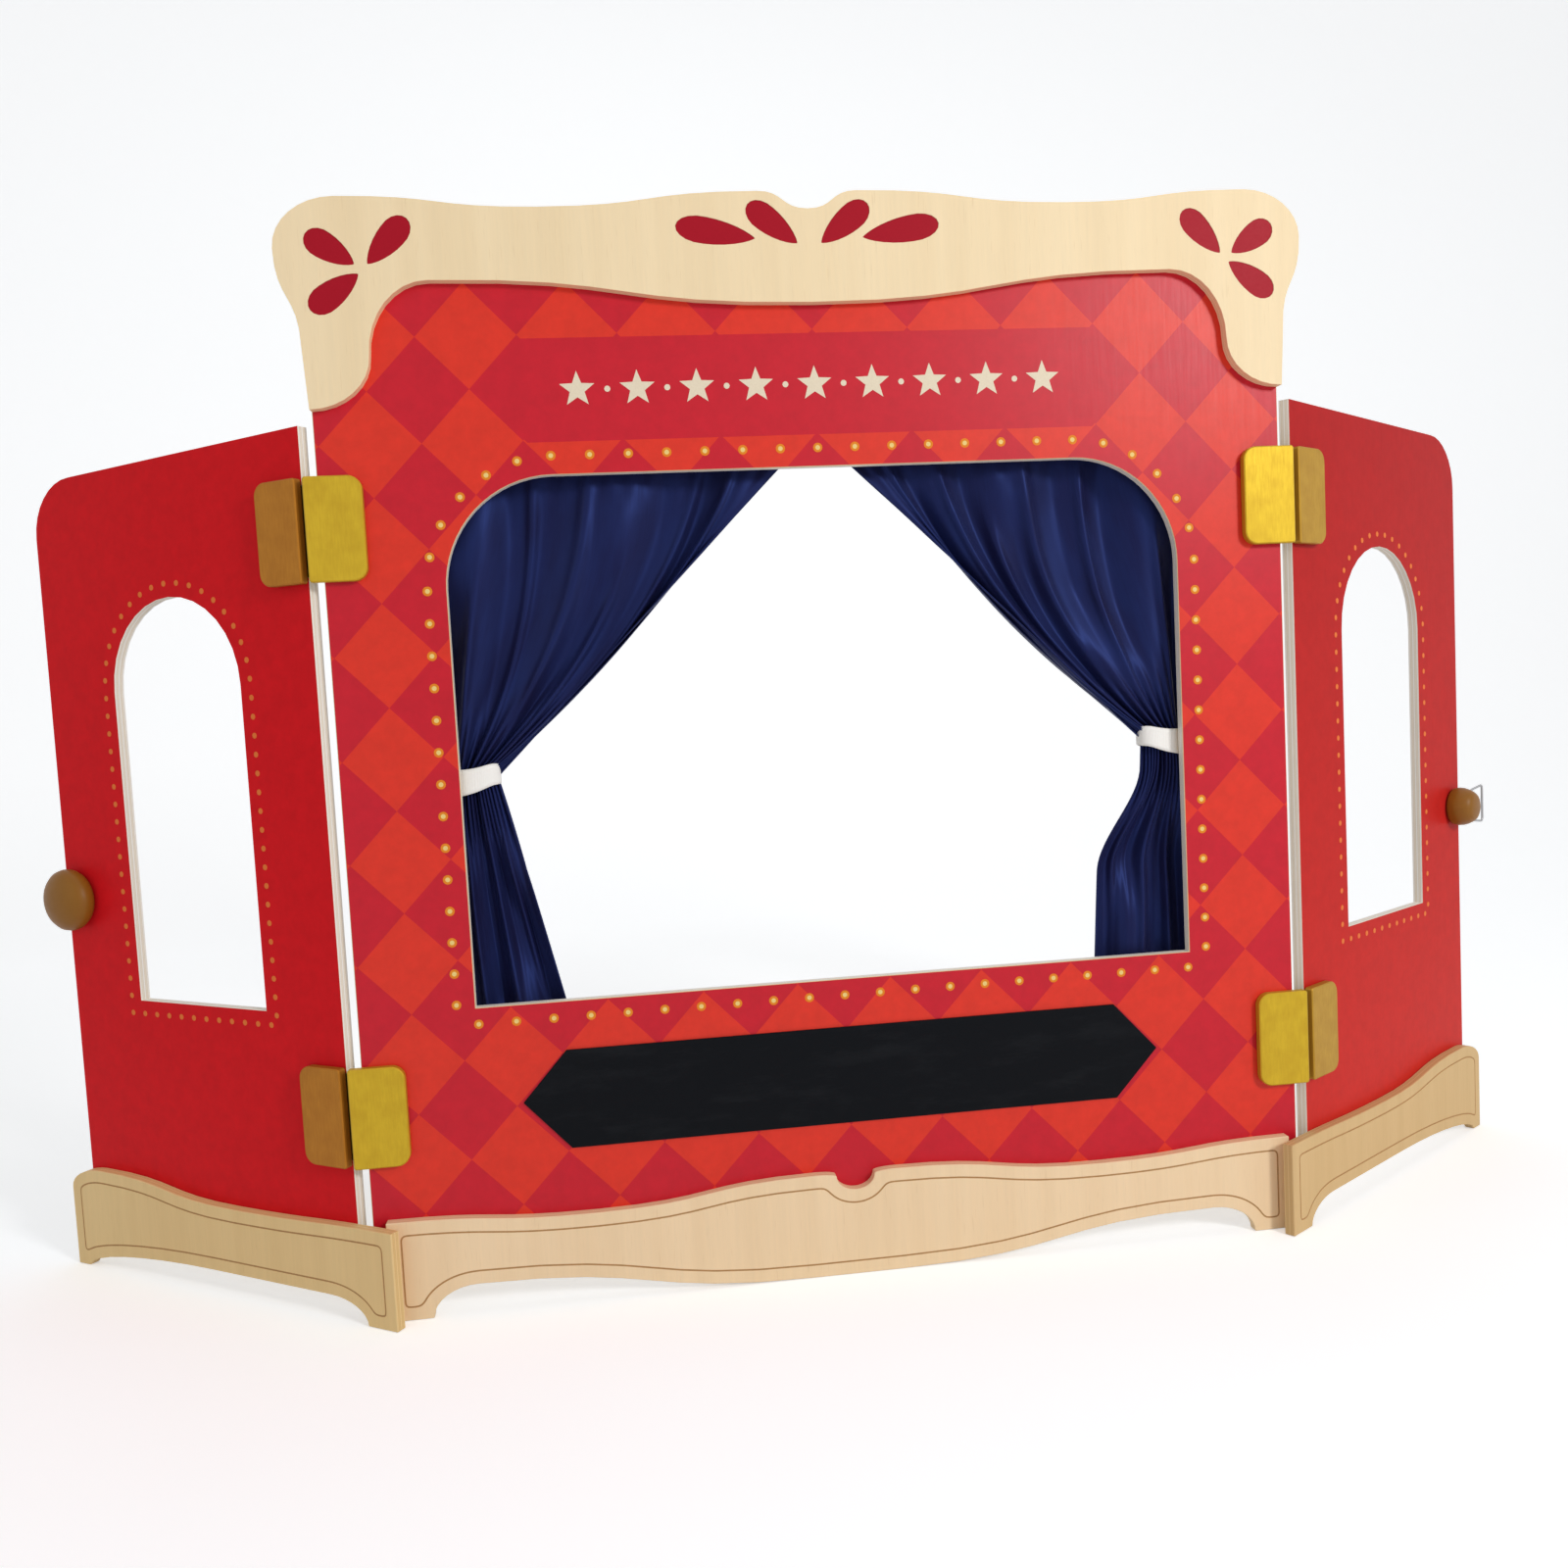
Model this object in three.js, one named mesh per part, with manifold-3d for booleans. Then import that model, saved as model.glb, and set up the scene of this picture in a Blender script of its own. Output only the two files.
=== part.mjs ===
// Tabletop puppet theatre: a printed plywood screen with a stage window, a scrolled crest and a scrolled
// base, two hinged wings with arched windows, satin curtains on a rod, and a chalkboard strip.
// Millimetres, +Z up, +Y away from the audience. The origin is on the floor, in the middle of the base
// board's centre lobe. A wing is drawn along its own +X, outwards from the hinge pin, and then mirrored.
import * as THREE from "three";
import { mergeVertices } from "three/addons/utils/BufferGeometryUtils.js";
import Module from "manifold-3d";

const wasm = await Module();
wasm.setup();

// Driving sizes of the screen
const screen_height = 577;
const panel_half_width = 257;
const panel_thickness = 6;
const panel_bottom_z = 20;
const board_thickness = 6;
const seat_gap = 0.3;
const fit_gap = 0.3;
const overrun = 1;

// Stage window
const stile_width = 60.5;
const header_height = 140;
const window_bottom_z = 162;
const window_corner_radius = 57;

// Crest, the scrolled board across the top. Drops are measured down from its lobes, insets inwards from
// the panel's edges, and overhangs outwards.
const crest_lobe_x = 26;
const crest_notch_drop = 9;
const crest_dip_share = 0.54;
const crest_dip_drop = 7;
const crest_ear_inset = 19;
const crest_ear_drop = 1;
const crest_overhang = 12;
const crest_shoulder_drop = 26;
const crest_waist_overhang = 1.5;
const crest_waist_drop = 74;
const crest_tip_drop = 105;
const crest_leg_width = 31;
const crest_leg_drop = 79;
const crest_corner_inset = 62;
const crest_corner_drop = 42.5;
const crest_centre_drop = 56.5;
const crest_panel_inset = 2.5;

// Petal cut-outs of the crest. Each petal's root and end are shares of the petal length, measured from the
// middle of the crest's lower edge, or from the middle of the motif in its right-hand corner.
const petal_length = 30;
const petal_width = 12.5;
const corner_motif_inset = 30;
const corner_motif_drop = 36;
const centre_petal_shares = [
  { root_x: 0.23, root_z: 1.02, end_x: 1.03, end_z: 1.63 },
  { root_x: 0.97, root_z: 1.1, end_x: 2.27, end_z: 1.3 },
];
const corner_petal_shares = [
  { root_x: -0.13, root_z: 0.08, end_x: -0.77, end_z: 0.77 },
  { root_x: 0.13, root_z: 0.07, end_x: 0.83, end_z: 0.55 },
  { root_x: 0.07, root_z: -0.13, end_x: 0.83, end_z: -0.67 },
];
const petal_flare_share = 0.3;
const petal_swell_share = 0.48;
const petal_belly_share = 0.7;
const petal_round_share = 0.88;
const petal_nose_share = 0.3;

// Base board of the screen
const base_inset = 7.5;
const base_notch_z = 47;
const base_notch_radius = 10.5;
const base_lip_share = 0.75;
const base_lip_x = 22;
const base_lip_z = 56.5;
const base_dip_share = 0.56;
const base_dip_z = 48;
const base_end_z = 53;
const base_foot_width = 21.5;
const base_arch_inset = 45.5;
const base_arch_z = 16;
const base_lobe_half_width = 24;

// Chalkboard strip, midway between the base board and the window
const chalk_height = 53;
const chalk_inset = 82;
const chalk_point = 24;
const chalk_thickness = 1.2;

// Hinges
const hinge_gap = 7;
const upper_hinge_drop = 53;
const lower_hinge_rise = 89;
const wing_fold = THREE.MathUtils.degToRad(34);
const knuckle_inset = 0.4;
const pin_radius = 1.2;
const pin_head_radius = 2.1;
const pin_head_height = 0.8;
const leaf_height = 46;
const leaf_thickness = 1.2;
const leaf_reach = 22;
const middle_knuckle_height = 15.4;

// Hinge cover plates
const cover_width = 29;
const cover_height = 53;
const cover_thickness = 5;
const cover_overhang = 6.5;
const cover_outer_radius = 7;
const cover_inner_radius = 1.5;
const cover_bevel = 0.6;

// Wings
const wing_width = 211;
const wing_drop = 111;
const wing_slope_drop = 5;
const wing_corner_radius = 32;
const arch_near = 55;
const arch_width = 100;
const arch_drop = 78;

// Base boards of the wings
const stub_length = 25;
const stub_top_z = 52;
const wing_base_overhang = 11;
const wing_base_dip_x = 90;
const wing_base_dip_z = 50;
const wing_base_crown_inset = 26;
const wing_base_crown_z = 59;
const wing_base_shoulder_z = 47;
const wing_foot_width = 10;
const wing_arch_outer_x = 110;
const wing_arch_inner_x = 62;
const wing_arch_z = 13;
const stub_foot_x = 36;

// Knobs on the outer edges of the wings, and the wire bail of the right one
const knob_z = 220;
const knob_inset = 9;
const knob_sides = 8;
const left_knob = { foot: 14, girth: 17, girth_height: 5, crown: 6, height: 13 };
const right_knob = { foot: 10.5, girth: 12.5, girth_height: 5, crown: 8.5, height: 15 };
const bolt_radius = 2;
const bolt_head_radius = 4;
const bolt_head_height = 1.8;
const bolt_grip = 8;
const bail_wire_radius = 0.75;
const bail_hole_offset = 8.6;
const bail_hole_height = 8;
const bail_inner_half = 10;
const bail_outer_half = 12.2;
const bail_length = 18;
const bolt_crown_share = 0.6;
const elbow_share = 1.02;

// Curtain rod and its brackets, behind the screen
const rod_radius = 4;
const rod_rise = 15;
const rod_spare = 14;
const bracket_width = 14;
const bracket_height = 30;
const bracket_nose = 5;
const rod_socket_depth = 9;

// Curtains, gathered to the sides by tie-backs. Widths are measured from the middle of the stage.
const curtain_clearance = 2.5;
const curtain_meet_x = 9;
const curtain_overlap = 11.5;
const hem_overlap = 12;
const hem_width = 67;
const tie_rise = 112;
const waist_width = 26;
const waist_draw = 11;
const curtain_folds = 7;
const fold_steps = 5;
const cloth_half_thickness = 0.9;
const waist_half_thickness = 4.6;
const fold_depth = 6.4;
const pocket_fold_depth = 3.4;
const waist_fold_depth = 2.2;
const hem_fold_depth = 5;
const draw_power = 1.22;
const flare_power = 1.3;
const gather_power = 3;
const calm_power = 2;
const upper_rows = 6;
const lower_rows = 5;

// Tie-backs and their pegs
const tie_thickness = 1.2;
const tie_clearance = 0.4;
const tie_height = 16;
const tie_bulge = 2.8;
const tie_nose = 3.5;
const tie_tab_reach = 7;
const peg_reach = 9;
const peg_radius = 2.5;
const peg_head_radius = 4;
const peg_head_height = 3;
const peg_spare = 1.5;

// Places that follow from those sizes
const panel_front_y = board_thickness / 2;
const panel_rear_y = panel_front_y + panel_thickness;
const window_half_width = panel_half_width - stile_width;
const window_top_z = screen_height - header_height;
const base_half_width = panel_half_width - base_inset;
const pin_x = panel_half_width + hinge_gap / 2;
const pin_y = panel_front_y + panel_thickness / 2;
const half_panel = panel_thickness / 2;
const half_gap = hinge_gap / 2;
const wing_top_inner_z = screen_height - wing_drop;
const wing_top_outer_z = wing_top_inner_z - wing_slope_drop;
const wing_outer_x = half_gap + wing_width;
const wing_base_outer_x = wing_outer_x + wing_base_overhang;
const arch_spring_z = wing_top_inner_z - arch_drop - arch_width / 2;
const hinge_z = [wing_top_inner_z - upper_hinge_drop, panel_bottom_z + lower_hinge_rise];
const knuckle_radius = half_panel - knuckle_inset;
const recess_floor = knuckle_radius - leaf_thickness - fit_gap;
const knob_x = wing_outer_x - knob_inset;
const curtain_mid_y = panel_rear_y + curtain_clearance + fold_depth + cloth_half_thickness;
const curtain_side_x = window_half_width + curtain_overlap;
const curtain_hem_z = window_bottom_z - hem_overlap;
const curtain_hem_inner_x = curtain_side_x - hem_width;
const rod_z = window_top_z + rod_rise;
const rod_y = curtain_mid_y;
const rod_half_length = curtain_side_x + rod_spare;
const pocket_bore_radius = rod_radius + fit_gap;
const pocket_radius = pocket_bore_radius + cloth_half_thickness * 2;
const curtain_top_z = rod_z - pocket_radius + cloth_half_thickness;
const waist_bottom_z = window_bottom_z + tie_rise;
const waist_top_z = waist_bottom_z + tie_height;
const waist_outer_x = curtain_side_x - waist_draw;
const waist_inner_x = waist_outer_x - waist_width;
const peg_x = waist_outer_x + peg_reach;

// Fineness of round stretches
const curve_steps = 8;
const round_sides = 24;
const wire_sides = 10;
const handle_share = 0.55;

const ply = new THREE.MeshStandardMaterial({ color: "#ecd5a6", roughness: 0.6 });
const crest_ply = new THREE.MeshStandardMaterial({ color: "#efdcb6", roughness: 0.6 });
const harlequin = new THREE.MeshStandardMaterial({ color: "#c8252c", roughness: 0.45 });
const wing_red = new THREE.MeshStandardMaterial({ color: "#cc2229", roughness: 0.45 });
const chalk_black = new THREE.MeshStandardMaterial({ color: "#15181f", roughness: 0.85 });
const gold = new THREE.MeshStandardMaterial({ color: "#c8b02e", roughness: 0.45, metalness: 0.2 });
const brass = new THREE.MeshStandardMaterial({ color: "#b5a15a", roughness: 0.35, metalness: 1 });
const steel = new THREE.MeshStandardMaterial({ color: "#a9a9ae", roughness: 0.3, metalness: 1 });
const stained_wood = new THREE.MeshStandardMaterial({ color: "#97662a", roughness: 0.5 });
const beech = new THREE.MeshStandardMaterial({ color: "#d9b98a", roughness: 0.6 });
const satin = new THREE.MeshStandardMaterial({ color: "#1b2a6b", roughness: 0.35 });
const ribbon = new THREE.MeshStandardMaterial({ color: "#f3e6df", roughness: 0.5 });

// Closed mesh to manifold solid
function solid(geometry) {
  const bare = geometry.clone();
  bare.deleteAttribute("normal");
  bare.deleteAttribute("uv");
  const merged = mergeVertices(bare);
  return new wasm.Manifold(
    new wasm.Mesh({
      numProp: 3,
      vertProperties: merged.attributes.position.array,
      triVerts: new Uint32Array(merged.index.array),
    }),
  );
}

// Manifold solid to geometry, with a flat normal for each face
function shaped(body) {
  const mesh = body.getMesh();
  const geometry = new THREE.BufferGeometry();
  geometry.setAttribute("position", new THREE.BufferAttribute(mesh.vertProperties, mesh.numProp));
  geometry.setIndex(new THREE.BufferAttribute(mesh.triVerts, 1));
  const flat = geometry.toNonIndexed();
  flat.computeVertexNormals();
  return flat;
}

function add(parent, name, geometry, material) {
  const mesh = new THREE.Mesh(geometry, material);
  mesh.name = name;
  parent.add(mesh);
  return mesh;
}

// Curve from the path's last point to (x, z). Each end runs either level or upright.
function bend(path, x, z, start, end) {
  const from = path.currentPoint.clone();
  const run = (x - from.x) * handle_share;
  const rise = (z - from.y) * handle_share;
  path.bezierCurveTo(
    start === "level" ? from.x + run : from.x,
    start === "level" ? from.y : from.y + rise,
    end === "level" ? x - run : x,
    end === "level" ? z : z - rise,
    x,
    z,
  );
}

// Outline that is the same on both sides of x = 0, from its right-hand half, which runs from top to bottom
function both_halves(half) {
  const right = half.getPoints(curve_steps);
  const left = right.slice(1, -1).map((p) => new THREE.Vector2(-p.x, p.y));
  return new THREE.Shape([...left, ...right.reverse()]);
}

// Upright board: the outline is drawn in x and z, and the board's rear face stands at rear_y
function board(shape, thickness, rear_y, bevel = 0) {
  const geometry = new THREE.ExtrudeGeometry(shape, {
    depth: thickness - bevel * 2,
    bevelEnabled: bevel > 0,
    bevelThickness: bevel,
    bevelSize: bevel,
    bevelOffset: -bevel,
    bevelSegments: 1,
    curveSegments: curve_steps,
  });
  geometry.rotateX(Math.PI / 2);
  geometry.translate(0, rear_y - bevel, 0);
  return geometry;
}

function block(x_low, x_high, y_low, y_high, z_low, z_high) {
  const geometry = new THREE.BoxGeometry(x_high - x_low, y_high - y_low, z_high - z_low);
  geometry.translate((x_low + x_high) / 2, (y_low + y_high) / 2, (z_low + z_high) / 2);
  return geometry;
}

// Round bar along z between two heights
function upright_bar(radius, z_low, z_high, sides = round_sides) {
  const geometry = new THREE.CylinderGeometry(radius, radius, z_high - z_low, sides);
  geometry.rotateX(Math.PI / 2);
  geometry.translate(0, 0, (z_low + z_high) / 2);
  return geometry;
}

// Round bar along y between two depths
function level_bar(radius, y_low, y_high, sides = round_sides) {
  const geometry = new THREE.CylinderGeometry(radius, radius, y_high - y_low, sides);
  geometry.translate(0, (y_low + y_high) / 2, 0);
  return geometry;
}

// Top line shared by the crest and, a little lower and shorter, by the panel behind it
function draw_top_line(path, inset) {
  const top = screen_height - inset;
  path.moveTo(0, top - crest_notch_drop);
  bend(path, crest_lobe_x, top, "level", "level");
  bend(path, panel_half_width * crest_dip_share, top - crest_dip_drop, "level", "level");
  bend(path, panel_half_width - crest_ear_inset - inset, top - crest_ear_drop, "level", "level");
}

// Teardrop cut-out, pointed at its root and round at its end
function petal(root_x, root_z, end_x, end_z) {
  const along = new THREE.Vector2(end_x - root_x, end_z - root_z);
  const across = new THREE.Vector2(-along.y, along.x).normalize().multiplyScalar(petal_width / 2);
  const at = (share, side) => [
    root_x + along.x * share + across.x * side,
    root_z + along.y * share + across.y * side,
  ];
  const path = new THREE.Path();
  path.moveTo(root_x, root_z);
  path.bezierCurveTo(...at(petal_flare_share, 0), ...at(petal_swell_share, 1), ...at(petal_belly_share, 1));
  path.bezierCurveTo(...at(petal_round_share, 1), ...at(1, petal_nose_share), ...at(1, 0));
  path.bezierCurveTo(...at(1, -petal_nose_share), ...at(petal_round_share, -1), ...at(petal_belly_share, -1));
  path.bezierCurveTo(...at(petal_swell_share, -1), ...at(petal_flare_share, 0), root_x, root_z);
  return path;
}

function crest() {
  const edge = panel_half_width;
  const top = screen_height;
  const half = new THREE.Path();
  draw_top_line(half, 0);
  bend(half, edge + crest_overhang, top - crest_shoulder_drop, "level", "upright");
  bend(half, edge + crest_waist_overhang, top - crest_waist_drop, "upright", "upright");
  half.lineTo(edge, top - crest_tip_drop);
  bend(half, edge - crest_leg_width, top - crest_leg_drop, "level", "upright");
  bend(half, edge - crest_corner_inset, top - crest_corner_drop, "upright", "level");
  bend(half, 0, top - crest_centre_drop, "level", "level");
  const shape = both_halves(half);
  const motifs = [
    [0, top - crest_centre_drop, centre_petal_shares],
    [edge - corner_motif_inset, top - corner_motif_drop, corner_petal_shares],
  ];
  for (const [x, z, shares] of motifs)
    for (const share of shares)
      for (const side of [-1, 1])
        shape.holes.push(
          petal(
            side * (x + share.root_x * petal_length),
            z + share.root_z * petal_length,
            side * (x + share.end_x * petal_length),
            z + share.end_z * petal_length,
          ),
        );
  return board(shape, board_thickness, panel_front_y);
}

function stage_window() {
  const path = new THREE.Path();
  const arc_x = window_half_width - window_corner_radius;
  const arc_z = window_top_z - window_corner_radius;
  path.moveTo(-window_half_width, window_bottom_z);
  path.lineTo(window_half_width, window_bottom_z);
  path.lineTo(window_half_width, arc_z);
  path.absarc(arc_x, arc_z, window_corner_radius, 0, Math.PI / 2, false);
  path.lineTo(-arc_x, window_top_z);
  path.absarc(-arc_x, arc_z, window_corner_radius, Math.PI / 2, Math.PI, false);
  path.lineTo(-window_half_width, window_bottom_z);
  return path;
}

// Recess for a hinge leaf in a panel's front face
function recess(x_low, x_high, mid_y, z) {
  const half = leaf_height / 2 + fit_gap;
  return block(x_low, x_high, mid_y - half_panel - overrun, mid_y - recess_floor, z - half, z + half);
}

function screen_panel() {
  const half = new THREE.Path();
  draw_top_line(half, crest_panel_inset);
  bend(half, panel_half_width, screen_height - crest_shoulder_drop, "level", "upright");
  half.lineTo(panel_half_width, panel_bottom_z);
  half.lineTo(0, panel_bottom_z);
  const shape = both_halves(half);
  shape.holes.push(stage_window());
  let body = solid(board(shape, panel_thickness, panel_rear_y));
  const near = pin_x - leaf_reach - fit_gap;
  const far = panel_half_width + overrun;
  for (const z of hinge_z) {
    body = body.subtract(solid(recess(near, far, pin_y, z)));
    body = body.subtract(solid(recess(-far, -near, pin_y, z)));
  }
  return shaped(body);
}

function screen_base() {
  const half = new THREE.Path();
  half.moveTo(0, base_notch_z);
  bend(half, base_notch_radius, base_notch_z + base_notch_radius * base_lip_share, "level", "upright");
  bend(half, base_lip_x, base_lip_z, "upright", "level");
  bend(half, base_half_width * base_dip_share, base_dip_z, "level", "level");
  bend(half, base_half_width, base_end_z, "level", "level");
  half.lineTo(base_half_width, 0);
  half.lineTo(base_half_width - base_foot_width, 0);
  bend(half, base_half_width - base_arch_inset, base_arch_z, "upright", "level");
  bend(half, base_lobe_half_width, 0, "level", "level");
  half.lineTo(0, 0);
  return board(both_halves(half), board_thickness, panel_front_y);
}

function chalkboard() {
  const middle = (base_lip_z + window_bottom_z) / 2;
  const low = middle - chalk_height / 2;
  const high = middle + chalk_height / 2;
  const tip = panel_half_width - chalk_inset;
  const flat = tip - chalk_point;
  const corners = [
    [-flat, low],
    [flat, low],
    [tip, middle],
    [flat, high],
    [-flat, high],
    [-tip, middle],
  ];
  const shape = new THREE.Shape(corners.map(([x, z]) => new THREE.Vector2(x, z)));
  return board(shape, chalk_thickness, panel_front_y);
}

// Cover plate of a hinge, from the edge near the pin outwards
function cover_plate(x_near, rear_y) {
  const low = -cover_height / 2;
  const high = cover_height / 2;
  const x_far = x_near + cover_width;
  const shape = new THREE.Shape();
  shape.moveTo(x_near + cover_inner_radius, low);
  shape.lineTo(x_far - cover_outer_radius, low);
  bend(shape, x_far, low + cover_outer_radius, "level", "upright");
  shape.lineTo(x_far, high - cover_outer_radius);
  bend(shape, x_far - cover_outer_radius, high, "upright", "level");
  shape.lineTo(x_near + cover_inner_radius, high);
  bend(shape, x_near, high - cover_inner_radius, "level", "upright");
  shape.lineTo(x_near, low + cover_inner_radius);
  bend(shape, x_near + cover_inner_radius, low, "upright", "level");
  return board(shape, cover_thickness, rear_y, cover_bevel);
}

// Hinge leaf with its knuckles round the pin at x = 0. The screen's leaf has the two end knuckles and the
// wing's leaf has the middle one, and each is cut away where the other's knuckles turn.
function hinge_leaf(has_middle_knuckle) {
  const end = leaf_height / 2;
  const middle = middle_knuckle_height / 2;
  const spans = [
    [-end, -middle - fit_gap, false],
    [-middle, middle, true],
    [middle + fit_gap, end, false],
  ];
  const front = -knuckle_radius;
  let body = solid(block(0, leaf_reach, front, front + leaf_thickness, -end, end));
  for (const [low, high, is_middle] of spans) {
    if (is_middle === has_middle_knuckle) {
      body = body.add(solid(upright_bar(knuckle_radius, low, high)));
    } else {
      const reach = knuckle_radius + fit_gap;
      const below = low === -end ? overrun : fit_gap;
      const above = high === end ? overrun : fit_gap;
      body = body.subtract(solid(block(-reach, reach, -reach, reach, low - below, high + above)));
    }
  }
  return shaped(body.subtract(solid(upright_bar(pin_radius + fit_gap, -end - overrun, end + overrun))));
}

// Solid of revolution about z, from (radius, height) pairs
function turned(profile, sides = round_sides, first_angle = 0) {
  const points = profile.map(([radius, height]) => new THREE.Vector2(radius, height));
  const geometry = new THREE.LatheGeometry(points, sides, first_angle);
  geometry.rotateX(Math.PI / 2);
  return geometry;
}

function hinge_pin() {
  const shoulder = leaf_height / 2 + fit_gap;
  const tip = shoulder + pin_head_height;
  return turned([
    [0, -tip],
    [pin_head_radius, -tip],
    [pin_head_radius, -shoulder],
    [pin_radius, -shoulder],
    [pin_radius, shoulder],
    [pin_head_radius, shoulder],
    [pin_head_radius, tip],
    [0, tip],
  ]);
}

function wing_panel() {
  const shape = new THREE.Shape();
  shape.moveTo(half_gap, panel_bottom_z);
  shape.lineTo(wing_outer_x, panel_bottom_z);
  shape.lineTo(wing_outer_x, wing_top_outer_z - wing_corner_radius);
  bend(shape, wing_outer_x - wing_corner_radius, wing_top_outer_z, "upright", "level");
  shape.lineTo(half_gap, wing_top_inner_z);
  shape.lineTo(half_gap, panel_bottom_z);
  const near = half_gap + arch_near;
  const arch = new THREE.Path();
  arch.moveTo(near, window_bottom_z);
  arch.lineTo(near + arch_width, window_bottom_z);
  arch.lineTo(near + arch_width, arch_spring_z);
  arch.absarc(near + arch_width / 2, arch_spring_z, arch_width / 2, 0, Math.PI, false);
  arch.lineTo(near, window_bottom_z);
  const bolt_hole = new THREE.Path();
  bolt_hole.absarc(knob_x, knob_z, bolt_radius + fit_gap, 0, Math.PI * 2, true);
  shape.holes.push(arch, bolt_hole);
  let body = solid(board(shape, panel_thickness, half_panel));
  for (const z of hinge_z)
    body = body.subtract(solid(recess(half_gap - overrun, leaf_reach + fit_gap, 0, z)));
  return shaped(body);
}

function wing_base() {
  const shape = new THREE.Shape();
  shape.moveTo(-stub_length, 0);
  shape.lineTo(-stub_length, stub_top_z);
  bend(shape, wing_base_dip_x, wing_base_dip_z, "level", "level");
  bend(shape, wing_base_outer_x - wing_base_crown_inset, wing_base_crown_z, "level", "level");
  bend(shape, wing_base_outer_x, wing_base_shoulder_z, "level", "upright");
  shape.lineTo(wing_base_outer_x, 0);
  shape.lineTo(wing_base_outer_x - wing_foot_width, 0);
  bend(shape, wing_arch_outer_x, wing_arch_z, "upright", "level");
  shape.lineTo(wing_arch_inner_x, wing_arch_z);
  bend(shape, stub_foot_x, 0, "level", "upright");
  shape.lineTo(-stub_length, 0);
  return board(shape, board_thickness, -half_panel - seat_gap);
}

// Faceted wooden knob standing forwards from y = 0, with a blind hole for its bolt
function knob_body(sizes, first_angle) {
  const geometry = turned(
    [
      [0, 0],
      [sizes.foot, 0],
      [sizes.girth, sizes.girth_height],
      [sizes.crown, sizes.height],
      [0, sizes.height],
    ],
    knob_sides,
    first_angle,
  );
  geometry.rotateX(Math.PI / 2);
  return solid(geometry).subtract(solid(level_bar(bolt_radius + fit_gap, -bolt_grip - fit_gap, overrun)));
}

function plain_knob() {
  return shaped(knob_body(left_knob, 0));
}

// Smaller knob, drilled from top to bottom for the wire bail
function bail_knob() {
  const reach = right_knob.girth + overrun;
  const hole = upright_bar(bail_wire_radius + fit_gap, -reach, reach);
  hole.translate(bail_hole_offset, -bail_hole_height, 0);
  return shaped(knob_body(right_knob, Math.PI / knob_sides).subtract(solid(hole)));
}

// Bolt through a wing and into its knob, with its head on the wing's rear face
function knob_bolt() {
  const seat = half_panel + seat_gap;
  const tip = -seat - bolt_grip;
  const points = [
    [0, tip],
    [bolt_radius, tip],
    [bolt_radius, seat],
    [bolt_head_radius, seat],
    [bolt_head_radius * bolt_crown_share, seat + bolt_head_height],
    [0, seat + bolt_head_height],
  ];
  return new THREE.LatheGeometry(points.map(([r, y]) => new THREE.Vector2(r, y)), round_sides / 2);
}

// Closed wire loop: a bar through the knob, two arms and an outer bar, joined by round corners
function bail() {
  const corners = [
    new THREE.Vector3(0, 0, -bail_inner_half),
    new THREE.Vector3(0, 0, bail_inner_half),
    new THREE.Vector3(bail_length, 0, bail_outer_half),
    new THREE.Vector3(bail_length, 0, -bail_outer_half),
  ];
  let body = null;
  corners.forEach((corner, i) => {
    const next = corners[(i + 1) % corners.length];
    const length = corner.distanceTo(next);
    const rod = new THREE.CylinderGeometry(bail_wire_radius, bail_wire_radius, length, wire_sides);
    const turn = new THREE.Quaternion().setFromUnitVectors(
      new THREE.Vector3(0, 1, 0),
      next.clone().sub(corner).normalize(),
    );
    rod.applyQuaternion(turn);
    const middle = corner.clone().add(next).multiplyScalar(1 / 2);
    rod.translate(middle.x, middle.y, middle.z);
    const elbow = new THREE.SphereGeometry(bail_wire_radius * elbow_share, wire_sides, wire_sides / 2);
    elbow.translate(corner.x, corner.y, corner.z);
    const piece = solid(rod).add(solid(elbow));
    body = body ? body.add(piece) : piece;
  });
  return shaped(body);
}

function curtain_rod() {
  const geometry = new THREE.CylinderGeometry(rod_radius, rod_radius, rod_half_length * 2, round_sides);
  geometry.rotateZ(Math.PI / 2);
  geometry.translate(0, rod_y, rod_z);
  return geometry;
}

// Rounded wooden bracket on the panel's rear face, with a blind socket for the rod's end
function rod_bracket() {
  const x_near = rod_half_length - rod_socket_depth;
  const shape = new THREE.Shape();
  const nose_y = rod_y + rod_radius + bracket_nose;
  shape.moveTo(panel_rear_y, rod_z - bracket_height / 2);
  bend(shape, nose_y, rod_z, "level", "upright");
  bend(shape, panel_rear_y, rod_z + bracket_height / 2, "upright", "level");
  shape.lineTo(panel_rear_y, rod_z - bracket_height / 2);
  const geometry = new THREE.ExtrudeGeometry(shape, {
    depth: bracket_width,
    bevelEnabled: false,
    curveSegments: curve_steps,
  });
  geometry.rotateX(Math.PI / 2);
  geometry.rotateZ(Math.PI / 2);
  geometry.translate(x_near, 0, 0);
  const depth = rod_socket_depth + fit_gap + overrun;
  const socket = new THREE.CylinderGeometry(rod_radius + fit_gap, rod_radius + fit_gap, depth, round_sides);
  socket.rotateZ(Math.PI / 2);
  socket.translate(rod_half_length + fit_gap - depth / 2, rod_y, rod_z);
  return shaped(solid(geometry).subtract(solid(socket)));
}

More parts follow.
